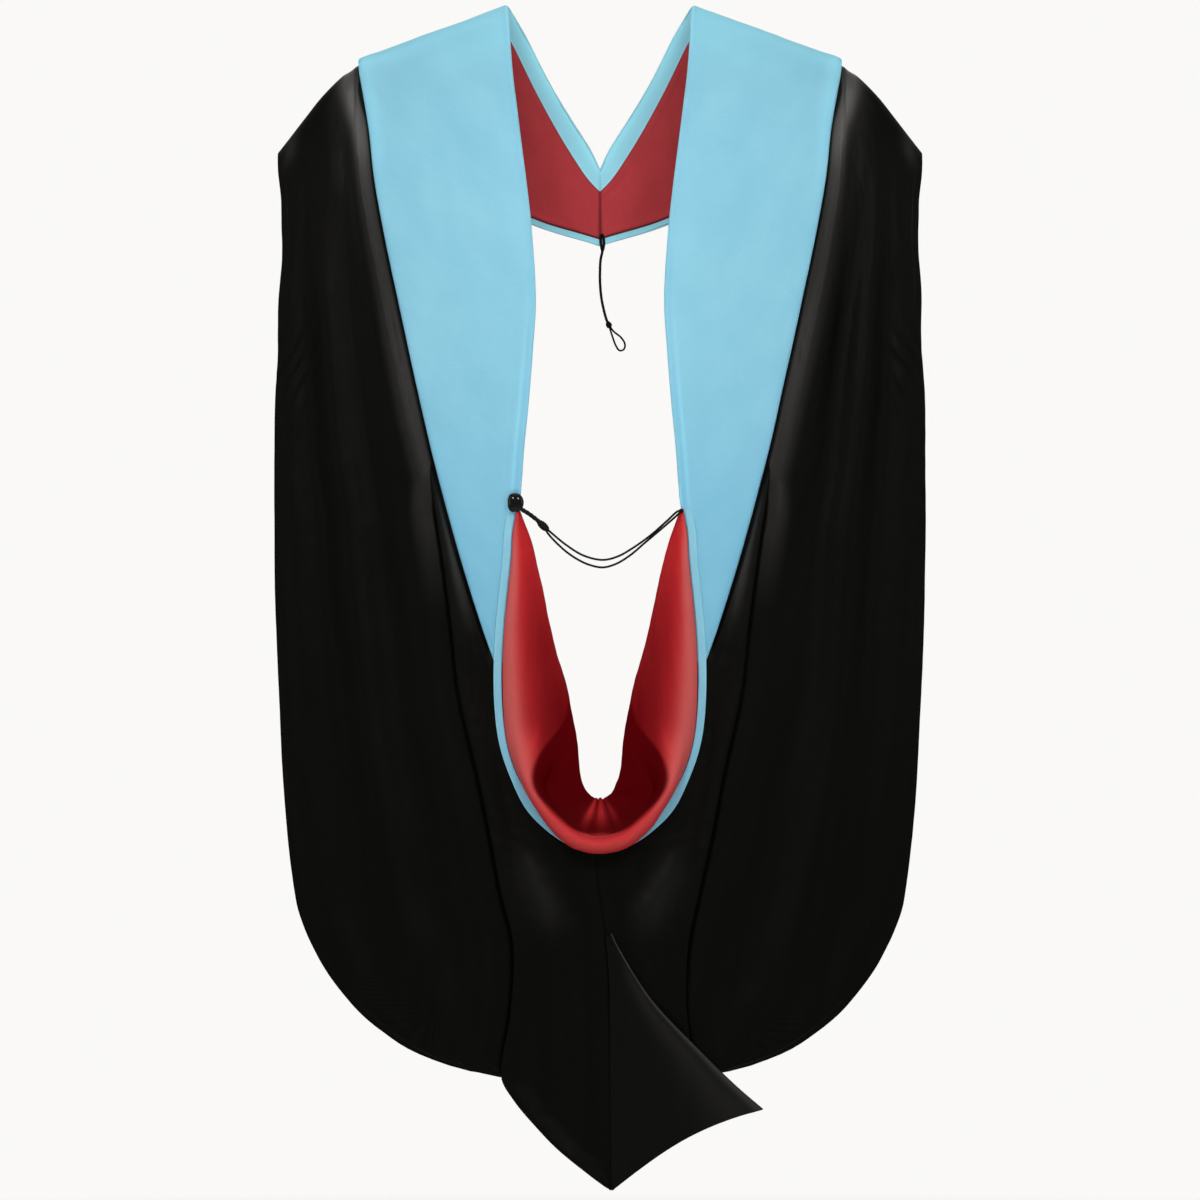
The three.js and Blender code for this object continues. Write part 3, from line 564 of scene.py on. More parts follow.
def weave(tree, source, across, lengthwise):
    """Height of a plain weave: two sets of threads that pass over each other."""
    threads = []
    for scale, direction in ((across, "X"), (lengthwise, "Y")):
        inputs = {"Vector": source, "Distortion": 0.0, "Scale": scale}
        threads.append(node(tree, "ShaderNodeTexWave", inputs, bands_direction=direction).outputs["Fac"])
    return maths(tree, "MULTIPLY", *threads)


def finished(material, tree, shader, base, height, distance, strength):
    """Gives the material its colour and its fine relief."""
    tree.links.new(base, shader.inputs["Base Color"])
    inputs = {"Height": height, "Distance": distance, "Strength": strength}
    tree.links.new(node(tree, "ShaderNodeBump", inputs).outputs["Normal"], shader.inputs["Normal"])
    return material


def linear(red, green, blue):
    """A measured display colour, 0 to 255, as linear light."""
    shares = (c / 255 for c in (red, green, blue))
    return tuple(((c + 0.055) / 1.055) ** 2.4 if c > 10 / 255 else c / 12.92 for c in shares)


def mark(tree, name, output="Fac"):
    return node(tree, "ShaderNodeAttribute", attribute_name=name, attribute_type="GEOMETRY").outputs[output]


def marked(tree, base, name, *colour):
    """The base turned towards a measured colour where the cloth carries a mark."""
    return mixed(tree, mark(tree, name), base, linear(*colour))


def velvet_material():
    material, tree, shader = start_material(
        "velvet", Roughness=0.92, Sheen_Weight=0.35, Sheen_Roughness=0.4,
        Sheen_Tint=(*linear(190, 232, 245), 1), Specular_IOR_Level=0.12,
    )
    cloth = mark(tree, "cloth", "Vector")
    clouds = noise(tree, stretched(tree, cloth, (1, 0.7, 1)), 22, 3)
    base = tones(tree, clouds, (126, 187, 208), (136, 195, 214))
    pile = noise(tree, stretched(tree, cloth, (1, 0.45, 1)), 1500, 2)
    base = mixed(tree, 0.22, base, tones(tree, pile, (112, 176, 204), (172, 222, 238)))
    # Painted highlight where the pile would catch light, then painted shade near the edges and a darker,
    # deeper blue low on the back
    base = marked(tree, base, "gleam", 162, 238, 255)
    base = marked(tree, base, "shade", 92, 168, 208)
    return finished(material, tree, shader, base, pile, 0.5 * mm, 0.6)


def lining_material():
    material, tree, shader = start_material(
        "lining", Roughness=0.8, Sheen_Weight=0.15, Sheen_Roughness=0.5, Specular_IOR_Level=0.2,
    )
    cloth = mark(tree, "cloth", "Vector")
    clouds = noise(tree, cloth, 26, 3, 0.6)
    base = tones(tree, clouds, (178, 54, 60), (193, 63, 68))
    threads = weave(tree, cloth, 280, 280)
    base = mixed(tree, 0.2, base, tones(tree, threads, (142, 42, 48), (222, 98, 100), 0, 1))
    # Painted shade along the lining's edges, with a dark line down the centre seam
    base = marked(tree, base, "shade", 84, 14, 22)
    return finished(material, tree, shader, base, threads, 0.15 * mm, 0.7)


def red_satin_material():
    material, tree, shader = start_material(
        "red_satin", Roughness=0.45, Sheen_Weight=0.05, Sheen_Roughness=0.35,
        Sheen_Tint=(*linear(255, 90, 80), 1), Specular_Tint=(1, 0.45, 0.43, 1),
    )
    cloth = mark(tree, "cloth", "Vector")
    streaks = noise(tree, stretched(tree, cloth, (30, 3, 1)), 3, 3, 0.6)
    base = tones(tree, streaks, (190, 32, 38), (204, 42, 46))
    threads = weave(tree, cloth, 420, 300)
    base = mixed(tree, 0.15, base, tones(tree, threads, (150, 18, 24), (224, 72, 72), 0, 1))
    # Painted highlight on the rolled flap and foot, painted shade across the flap and in the pocket; the
    # specular is lowered where the shade is painted, so the painted pocket stays deep red
    base = marked(tree, base, "gleam", 222, 124, 118)
    base = marked(tree, base, "shade", 84, 0, 5)
    ranged(tree, mark(tree, "shade"), 0.22, 0.04, shader.inputs["Specular IOR Level"])
    return finished(material, tree, shader, base, threads, 0.1 * mm, 0.5)


def black_satin_material():
    tint = (1, 0.97, 0.93, 1)
    material, tree, shader = start_material("black_satin", Sheen_Weight=0.0, Specular_Tint=tint)
    cloth = mark(tree, "cloth", "Vector")
    streaks = noise(tree, stretched(tree, cloth, (24, 1.2, 1)), 2.5, 3, 0.55)
    base = tones(tree, streaks, (6, 6, 5), (9, 9, 8))
    twill = node(
        tree, "ShaderNodeTexWave", {"Vector": cloth, "Scale": 330, "Distortion": 0.4, "Detail": 1},
        bands_direction="DIAGONAL",
    ).outputs["Fac"]
    base = mixed(tree, 0.25, base, tones(tree, twill, (4, 4, 3), (15, 15, 13), 0, 1))
    # Painted highlight: the satin is painted lighter where light would catch it, then painted shade in
    # seams and creases; the specular rises with the painted highlight mark
    painted_sheen = maths(tree, "MULTIPLY", mark(tree, "gleam"), mark(tree, "gleam"))
    base = mixed(tree, painted_sheen, base, linear(62, 61, 59))
    base = marked(tree, base, "shade", 2, 2, 2)
    ranged(tree, streaks, 0.4, 0.5, shader.inputs["Roughness"])
    ranged(tree, mark(tree, "gleam"), 0.055, 0.8, shader.inputs["Specular IOR Level"])
    return finished(material, tree, shader, base, twill, 0.08 * mm, 0.5)


def cord_material():
    material, tree, shader = start_material("cord", Roughness=0.55, Specular_IOR_Level=0.16)
    place_of = node(tree, "ShaderNodeTexCoord").outputs["Object"]
    fibres = noise(tree, place_of, 2600, 2)
    base = tones(tree, fibres, (3, 3, 3), (14, 13, 13))
    return finished(material, tree, shader, base, fibres, 0.12 * mm, 0.6)


def gloss_material():
    material, tree, shader = start_material(
        "gloss_black", Specular_IOR_Level=0.06, Coat_Weight=0.45, Coat_Roughness=0.05,
    )
    place_of = node(tree, "ShaderNodeTexCoord").outputs["Object"]
    clouds = noise(tree, place_of, 120, 3)
    base = tones(tree, clouds, (4, 4, 5), (12, 12, 13), 0.35)
    scuffs = noise(tree, stretched(tree, place_of, (1, 1, 0.2)), 900, 4, 0.7)
    ranged(tree, scuffs, 0.1, 0.24, shader.inputs["Roughness"])
    return finished(material, tree, shader, base, scuffs, 0.02 * mm, 0.4)


materials = {
    "velvet": velvet_material(),
    "lining": lining_material(),
    "red_satin": red_satin_material(),
    "black_satin": black_satin_material(),
    "cord": cord_material(),
    "gloss_black": gloss_material(),
}


# Cords: rope bodies along smooth routes
curve_steps = 40
rope_width, rope_pitch = 0.62, 2.6
ring_depth = 2.4 * mm


def smooth_route(points, count):
    """Centripetal curve through given points, as evenly spaced points."""
    p = np.array(points, float)
    p = np.vstack([2 * p[0] - p[1], p, 2 * p[-1] - p[-2]])
    fine = []
    for k in range(1, len(p) - 2):
        p0, p1, p2, p3 = p[k - 1: k + 3]
        d0, d1, d2 = (max(np.linalg.norm(b - a), 1e-9) ** 0.5 for a, b in ((p0, p1), (p1, p2), (p2, p3)))
        start = ((p1 - p0) / d0 - (p2 - p0) / (d0 + d1) + (p2 - p1) / d1) * d1
        end = ((p2 - p1) / d1 - (p3 - p1) / (d1 + d2) + (p3 - p2) / d2) * d1
        t = np.linspace(0, 1, curve_steps, endpoint=k == len(p) - 3)[:, None]
        rise = p2 - p1
        fine.append(p1 + t * (start + t * (3 * rise - 2 * start - end + t * (start + end - 2 * rise))))
    fine = np.concatenate(fine)
    length = np.concatenate([[0], np.cumsum(np.linalg.norm(np.diff(fine, axis=0), axis=1))])
    even = np.linspace(0, length[-1], count)
    return np.column_stack([np.interp(even, length, fine[:, k]) for k in range(3)]), length[-1]


def frames_along(path):
    """Two crosswise directions at each point of a path, turning as little as they can."""
    tangent = unit(np.gradient(path, axis=0))
    helper = np.array([0, 1, 0]) if abs(tangent[0][1]) < 0.9 else np.array([1, 0, 0])
    across = unit(np.cross(tangent[0], helper))
    firsts = []
    for t in tangent:
        across = unit(across - t * (across @ t))
        firsts.append(across)
    firsts = np.array(firsts)
    return firsts, np.cross(tangent, firsts)


def tube(path, radius):
    """Points and quads of a tube whose radius is given at each point and angle; round ends close it."""
    first, second = frames_along(path)
    angle = ring_angles(radius.shape[1])
    ring = first[:, None] * np.cos(angle)[..., None] + second[:, None] * np.sin(angle)[..., None]
    points = path[:, None] + ring * radius[..., None]
    return points.reshape(-1, 3), ring_faces(*radius.shape)


def rope_radius(length, count, sides, diameter, lobes, pitch, depth=0.16, taper=1.2 * mm):
    s = down_steps(0, length, count)
    angle = ring_angles(sides)
    wave = np.abs(np.cos(0.5 * lobes * (angle + 2 * math.pi * s / pitch)))
    end = np.sqrt(np.clip(1 - (1 - np.minimum(1, np.minimum(s, length - s) / taper)) ** 2, 0.04, 1))
    return rope_width * diameter * (1 - depth + depth * wave) * end


def rope(route, diameter, lobes=3, pitch=None, sides=18, spacing=0.5 * mm):
    path, length = smooth_route(route, 400)
    count = int(length / spacing)
    path, length = smooth_route(route, count)
    radius = rope_radius(length, count, sides, diameter, lobes, pitch or rope_pitch * diameter)
    points, faces = tube(path, radius)
    return points, faces, length


def joined(bodies):
    points, faces, start = [], [], 0
    for body_points, body_faces in bodies:
        points.append(body_points)
        faces.append(outward_faces(body_points, body_faces) + start)
        start += len(body_points)
    return np.concatenate(points), np.concatenate(faces)


def wound_knot(middle, direction, length, radius, wraps, thickness):
    """A cord wound round its own strands: a helix over a soft core, thicker in the middle."""
    middle, direction = np.array(middle), unit(np.array(direction, float))
    side = unit(np.cross(direction, [0, 1, 0]))
    third = np.cross(direction, side)
    t = np.linspace(0, 1, 44 * wraps)
    swell = np.sqrt(np.clip(1 - (2 * t - 1) ** 2 * 0.8, 0, 1))
    turn = 2 * math.pi * wraps * t
    reach = (radius - thickness / 2) * swell
    along_knot = (t - 0.5) * (length - thickness)
    path = middle + direction * along_knot[:, None]
    path = path + side * (reach * np.cos(turn))[:, None] + third * (reach * np.sin(turn))[:, None]
    wound = tube(path, np.full((len(path), 10), thickness / 2))
    s = np.linspace(-0.5, 0.5, 15)
    core_path = middle + direction * (s * length)[:, None]
    core_radius = (radius - 0.55 * thickness) * np.sqrt(np.clip(1 - (2 * s) ** 2, 0.02, 1))
    core = tube(core_path, np.repeat(core_radius[:, None], 14, axis=1))
    return joined([wound, core])


def wound_bead(middle, direction, length, radius, wraps, sides=24, rings=90):
    """A long slide bead of thin cord wound tightly, so its windings are shallow."""
    t = down_steps(0, 1, rings)
    path = np.array(middle) + unit(np.array(direction, float)) * (t - 0.5) * length
    angle = ring_angles(sides)
    winding = 0.9 + 0.1 * np.abs(np.cos(0.5 * (2 * math.pi * wraps * t + angle)))
    return tube(path, radius * winding * np.sqrt(np.clip(1 - 0.93 * (2 * t - 1) ** 2, 0, 1)))


def add_cord_piece(stands_for, form, points, faces):
    return place(add_mesh(f"{stands_for}_{form}", points, faces), "cord", stands_for)


def add_declared_cord(stands_for, route, diameter):
    points, faces, length = rope(route, diameter)
    piece = add_cord_piece(stands_for, "rope", points, faces)
    path, _ = smooth_route(route, 40)


def make_button_cords():
    twist_points, twist_faces, _ = rope(
        [twist_start, *twist_route, slide_knot_place], 0.9 * twist_diameter, 2, 9 * mm, 22,
    )
    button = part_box("button")
    low, high = np.array(button[0]), np.array(button[1])
    centre = (low + high) / 2
    turns = np.linspace(math.radians(-40), math.radians(318), 90)
    reach = np.array([0.36, 0.34]) * (high - low)[[0, 2]]
    loop = np.column_stack([
        centre[0] + reach[0] * np.cos(turns), np.full(len(turns), high[1] - ring_depth),
        centre[2] + reach[1] * np.sin(turns),
    ])
    ring = tube(loop, rope_radius(0.05, len(loop), 12, strand_diameter, 3, 5 * mm))
    twist = add_cord_piece("cord_twist", "rope", *joined([(twist_points, twist_faces), ring]))
    direction = np.array(upper_route[0]) - np.array(twist_route[-1])
    bead = wound_bead(slide_knot_place, direction, slide_knot_length, slide_knot_radius, slide_knot_wraps)
    knot = add_cord_piece("slide_knot", "wound", *bead)
    wound = wound_knot(tack_place, (0.8, 0, 0.6), 5 * mm, 2.5 * mm, 3, 1.3 * mm)
    tack = add_cord_piece("cord_tack", "wound", *wound)
    inside = tuple(blend(np.array(slide_knot_place), np.array(upper_route[0]), 0.4))
    for stands_for, route, with_pieces in (
        ("cord_upper", upper_route, [twist, knot]), ("cord_lower", lower_route, [tack]),
    ):
        add_declared_cord(stands_for, [inside, *route, tack_place], strand_diameter)


def make_front_cord():
    bar_points, bar_faces, _ = rope(bar_route, front_cord_diameter, 2, 6 * mm)
    bar = add_cord_piece("front_loop_bar", "rope", bar_points, bar_faces)
    wound = wound_knot(front_knot_place, (0.4, 0, -1), 7.7 * mm, 3.4 * mm, 3, 2.1 * mm)
    knot = add_cord_piece("front_knot", "wound", *wound)
    loop_points, loop_faces, _ = rope([front_knot_place, *loop_route, front_knot_place], loop_diameter)
    loop = add_cord_piece("front_loop", "rope", loop_points, loop_faces)
    start = tuple(np.array(front_route[0]) + np.array([0, 0, bar_overlap]))
    route = [start, *front_route, front_knot_place]
    add_declared_cord("front_cord", route, front_cord_diameter)


make_button_cords()
make_front_cord()


# Neckband: rows run from the chest over the shoulder ridge and down the back
front_rows = 84
back_rows = 176
row_step = 3 * mm
pucker_depth = 0.22 * mm
middle_room = 6 * mm
cowl_notch = 0.010


def crown_rise(share):
    start, end = top_line["out"][0], velvet_outer["out"][0]
    return velvet_outer["down"][0] * share - along(top_line, "drop", blend(start, end, share))


def band_stations(to_down=1.0):
    """The share along the front and the share down the back of each row; one of them is always 0."""
    front = np.linspace(1, 0, front_rows + 1)[:-1]
    back = velvet_outer["down"][-1] * np.linspace(0, 1, back_rows) ** 1.6
    back = back[back <= to_down]
    return np.concatenate([
        np.column_stack([front, np.zeros(len(front))]), np.column_stack([np.zeros(len(back)), back]),
    ])


def band_base(stations, share):
    fore, down = stations[:, :1], stations[:, 1:]
    share = np.broadcast_to(share, (len(stations), share.shape[-1]))
    column = {key: along(neck_front, key, fore) for key in neck_front}
    rise = crown_rise(share)
    front = np.stack([
        blend(column["out"], column["edge_out"], share) * half_width,
        blend(column["fore"], column["edge_fore"], share) * front_depth,
        (rise * (1 - fore) - blend(column["down"], column["edge_down"], share)) * hood_length,
    ], axis=-1)
    reach, start = velvet_outer["down"][-1], velvet_outer["down"][0]
    outer_down = start + (reach - start) * down / reach
    inner = along(velvet_inner, "out", down) - cowl_notch * bell(down, 0.43, 0.014)
    out = blend(inner, along(velvet_outer, "out", outer_down), share)
    back = back_point(out, blend(down, outer_down, share) - rise * fall(0, 0.2, down), 0)
    return np.where(fore[..., None] > 0, front, back)


def rounded_ridge(grid, stations, reach=16, passes=40):
    """Eases the sharp change of direction at the shoulder ridge and keeps its height."""
    ridge = int(np.argmin(stations[:, 0] > 0))
    sharp = grid[ridge].copy()
    weight = np.clip(1 - np.abs(np.arange(len(stations)) - ridge) / reach, 0, 1)[:, None, None] * 0.5
    for _ in range(passes):
        middle = grid.copy()
        middle[1:-1] = (grid[:-2] + grid[2:]) / 2
        grid = blend(grid, middle, weight)
    near = bell(np.arange(len(stations)) - ridge, 0, 0.7 * reach)[:, None, None]
    return grid + (sharp - grid[ridge]) * near


def band_width(stations):
    ends = band_base(stations, np.array([[0.0, 1.0]]))
    return np.linalg.norm(ends[:, 1] - ends[:, 0], axis=-1)[:, None]


def band_cloth(stations, inset, level, wall):
    """Middle points of a cloth on the band: inset is each point's distance from the inner edge."""
    fore, width = stations[:, :1], band_width(stations)
    near_edge = fall(edge_hem_width, 2 * neck_hem_width, inset)
    far_edge = ease(0.5 * width, width - 2 * edge_hem_width, inset)
    inset = inset - (front_roll * ease(0, 0.25, fore) + chest_roll * ease(0.35, 1, fore)) * near_edge
    inset = inset - chest_rise * far_edge * ease(0.3, 0.6, fore)
    share = inset / width
    grid = rounded_ridge(band_base(stations, share), stations)
    spread = unit(np.gradient(grid, axis=1))
    normal = unit(np.cross(np.gradient(grid, axis=0), spread))
    normal[stations[:, 0] == 1, :, 0] = 0
    grid = grid + unit(normal) * level[..., None]
    from_middle = np.exp(-np.maximum(grid[..., 0], 0) / middle_room)
    grid[..., 0] = np.where(fore > 0, grid[..., 0] + (wall / 2 - gap) * from_middle, grid[..., 0])
    return grid


roll_angles = np.linspace(0, math.pi / 2, 7)


def make_velvet(side, name):
    stations = band_stations()
    down = stations[:, 1:]
    width = band_width(stations)
    rim, reach = velvet_wall / 2, velvet_wall / 2 + edge_roll
    rolled_inset = rim + edge_roll * (1 - np.cos(roll_angles))[None]
    rolled_level = -edge_roll * (1 - np.sin(roll_angles))[None]
    plain_inset = across_steps(rim, reach, len(roll_angles))
    hold = fall(0.392, 0.412, down)
    inner = blend(plain_inset, rolled_inset, hold)
    inner_level = rolled_level * hold
    outer_hold = 1 - 0.75 * ease(0.46, 0.55, down)
    corner = velvet_corner * bell(down, 0, 0.006) * bell(stations[:, :1], 0, 0.03)
    outer = width - blend(plain_inset, rolled_inset, outer_hold)[:, ::-1] - corner
    outer_level = (rolled_level * outer_hold)[:, ::-1]
    middle = blend(inner[:, -1:], outer[:, :1], np.linspace(0, 1, 50)[None, 1:-1])
    inset = np.concatenate([inner, middle, outer], axis=1)
    level = np.concatenate([inner_level, np.zeros_like(middle), outer_level], axis=1)
    flat = band_cloth(stations, inset, level, velvet_wall)
    s = arc_lengths(flat, 0)
    calm = 1 - 0.9 * ease(0.36, 0.42, down)
    uneven = 0.45 * mm * ripple(3 + side, s, inset, 120 * mm)
    uneven = uneven + 0.12 * mm * ripple(9 + side, s, inset, 26 * mm)
    pucker = -pucker_depth * bell(inset, neck_hem_width, 2.2 * mm) * (0.7 + 0.3 * np.sin(s / (1.6 * mm)))
    grid = band_cloth(stations, inset, level + (uneven + pucker) * calm, velvet_wall)
    to_edge = np.minimum(inset, width - inset)
    # Painted shade near both edges and darker towards the bottom of the back; painted highlights along the
    # shoulder ridge, the outer edge near the top, the turned inner line on the back and the inner edge
    shade = 0.18 * bell(to_edge, 4.5 * mm, 2.0 * mm) + 0.32 * ease(0.24, 0.52, down)
    on_back = stations[:, :1] == 0
    top_roll = 0.4 * bell(down, 0.002, 0.010) + 0.3 * bell(down, 0.018, 0.020) * fall(0, 0.9, inset / width)
    outer_soft = 0.22 * bell(width - inset, 6 * mm, 9 * mm) * bell(down, 0.05, 0.06)
    turned_line = 0.3 * bell(inset, 9.5 * mm, 1.8 * mm) * ease(0.20, 0.36, down) * fall(0.41, 0.43, down)
    gleam = (top_roll + outer_soft + turned_line) * on_back + 0.3 * bell(inset, 1.6 * mm, 1.3 * mm)
    return add_cloth(name, "velvet", grid, velvet_wall, side, inset=False, shade=shade, gleam=gleam)


hem_level = -(velvet_wall / 2 + layer_room + hem_wall / 2)
lining_level = -(velvet_wall / 2 + layer_room + lining_wall / 2)


def make_neck_hem(side, name):
    stations = band_stations(to_down=band_inside_end)
    hem_width = neck_hem_width + chest_hem * ease(edge_hem_start, 1, stations[:, :1])
    inset = blend(hem_inset, hem_width, across_steps(0, 1, 15))
    s = np.arange(len(stations))[:, None] * row_step
    level = hem_level + 0.1 * mm * ripple(21 + side, s, inset, 30 * mm)
    grid = band_cloth(stations, inset, level, hem_wall)
    # The shade mark draws the dashed stitches of the centre seam. The whole hem is painted lighter, painted
    # light inside the neck where little light reaches, with painted highlights by both its edges
    stitch = bell(grid[..., 0], 0, 0.9 * mm) * (stations[:, :1] > 0.9) * (np.arange(15) % 2)
    gleam = 0.7 + 0.3 * bell(inset, 2 * mm, 6 * mm) + 0.3 * bell(inset, hem_width - 2.2 * mm, 1.2 * mm)
    return add_cloth(name, "velvet", grid, hem_wall, side, inset=False, shade=0.75 * stitch, gleam=gleam)


def make_front_edge(side, name):
    stations = band_stations()
    stations = stations[stations[:, 0] > edge_hem_start]
    width = band_width(stations)
    inset = width - across_steps(edge_hem_width, hem_inset, 9)
    grid = band_cloth(stations, inset, np.full(inset.shape, hem_level), hem_wall)
    # Painted shade along the line where the lining meets the hem; the whole strip is painted lighter,
    # painted light where the inside of the front gets little light
    shade = 0.2 * bell(width - inset, edge_hem_width, 1.6 * mm)
    return add_cloth(name, "velvet", grid, hem_wall, side, inset=False, shade=shade, gleam=1.0)


def make_band_lining(side, name):
    stations = band_stations(to_down=band_inside_end)
    fore, down = stations[:, :1], stations[:, 1:]
    width = band_width(stations)
    near_ridge = fall(0.2, 0.5, fore) - ease(0.03, 0.15, down)
    low = neck_hem_width - hem_overlap + chest_hem * ease(edge_hem_start, 1, fore)
    hemmed = ease(edge_hem_start, 0.3, fore)
    high = width - (edge_hem_width - hem_overlap * hemmed + gap + ridge_inset * near_ridge)
    inset = blend(low, high, 0.5 - 0.5 * np.cos(np.linspace(0, math.pi, 52))[None])
    lap = fall(2.5 * mm, 8 * mm, inset - low)
    lap = np.maximum(lap, fall(2.5 * mm, 8 * mm, high - inset) * hemmed)
    s = np.arange(len(stations))[:, None] * 3.2 * mm
    soft = 0.25 * mm * (ripple(31 + side, s, inset, 70 * mm) - 1)
    soft = soft + 0.1 * mm * ripple(35 + side, s, inset, 18 * mm)
    over_hem = -(hem_wall + 0.35 * mm)
    level = lining_level + soft * (1 - lap) + over_hem * lap
    grid = band_cloth(stations, inset, level, lining_wall)
    edge = np.minimum(inset - low, (high - inset) + (1 - hemmed))
    # Painted shade: a painted shadow line along the hemmed edge, darker edges all round, and a dark line
    # down the centre seam
    shade = 0.9 * bell(high - inset, 0, 1.7 * mm) * hemmed + 0.25 * bell(edge, 0, 1.4 * mm)
    shade = shade + 0.9 * bell(grid[..., 0], 0, 0.9 * mm) * (fore > 0.9)
    return add_cloth(name, "lining", grid, lining_wall, side, inset=False, shade=shade)


def make_band(side, word):
    face, face_grid = make_velvet(side, f"velvet_{word}")
    hem, _ = make_neck_hem(side, f"neck_hem_{word}")
    edge, _ = make_front_edge(side, f"front_edge_{word}")
    inside, inside_grid = make_band_lining(side, f"band_lining_{word}")
    declare_sheet(face_grid)
    declare_sheet(inside_grid)


# Back panels and the turned tail
def turn_at(outer, down):
    fold = along(outer, "out", down)
    width = (fold - panel_inner_out(1, down)) * half_width
    fade = 1 - 0.75 * ease(0.78, 0.84, down)
    return np.maximum(0.6 * mm, np.minimum(fold_turn * fade, 0.3 * width))


def panel_inner_out(side, down):
    first, last = panel_inner["down"][0], panel_inner["down"][-1]
    seam = side * along(centre_seam, "out", down) + seam_share / 2
    under = along(panel_inner, "out", down) + seam_share * fall(first, first + 0.02, down)
    under = under + seam * ease(0.69, last, down)
    upper = along(velvet_outer, "out", down) + seam_share
    return np.where(down < first, upper, np.where(down >= last, seam, under))


def right_inner_out(down):
    seam = panel_inner_out(1, down)
    fold = np.interp(down, turn_line[1], turn_line[0])
    return np.where(down < turn_fold["down"][0], seam, np.maximum(seam, fold - 0.045))


turn_steps = np.linspace(0, 1, 60)
turn_line = (along(turn_fold, "out", turn_steps), along(turn_fold, "down", turn_steps))

rest_lift = satin_wall + gap
rise_width = 28 * mm
panel_top = 0.372


def fold_lift_at(u, width, height):
    from_fold = (1 - along(fold_section, "across", u)) * width
    rise = fall(0, np.maximum(1e-6, np.minimum(rise_width, 0.7 * width)), from_fold)
    return rise * blend(rest_lift, height, along(fold_section, "over", u))


def photo_point(x, y):
    """A point of the photograph's frame as across and up in metres."""
    scale = hood_length / photo_hood_height
    return np.array(((x - photo_pixels / 2) * scale, (photo_hood_top - y) * scale))


def photo_ridge(grid, start, end, width):
    """A soft ridge between two points of the photograph's frame, fading towards both its ends."""
    start, end = photo_point(*start), photo_point(*end)
    flat = grid[..., [0, 2]] - start
    length = np.linalg.norm(end - start)
    direction = (end - start) / length
    reach = (flat @ direction) / length
    off = flat @ np.array([-direction[1], direction[0]])
    return bell(off, 0, width) * ease(-0.15, 0.35, reach) * fall(0.65, 1.15, reach)


def offset(grid, amount):
    return grid + normals_of(grid) * amount[..., None]


# Tension folds from the cowl's foot into each panel: height, the two ends in the photograph's frame, width
tension_folds = {
    -1: (
        (3.2 * mm, (516, 840), (556, 932), 9 * mm),
        (-1.6 * mm, (545, 850), (580, 930), 9 * mm),
        (1.5 * mm, (560, 960), (598, 1120), 14 * mm),
    ),
    1: (
        (3.2 * mm, (686, 842), (634, 930), 9 * mm),
        (-1.6 * mm, (655, 850), (622, 915), 9 * mm),
    ),
}

# How far each panel goes under its neighbour at the centre seam, how deep, how soon, and its rows
seam_lap = {-1: 2.4 * mm, 1: 0.8 * mm}
seam_sink = {-1: -2.2 * mm, 1: -0.5 * mm}
seam_slope = {-1: 3.8 * mm, 1: 2.4 * mm}
panel_rows = {-1: 250, 1: 200}
tail_lap = 1.6 * mm
panel_start = 1.5 * mm


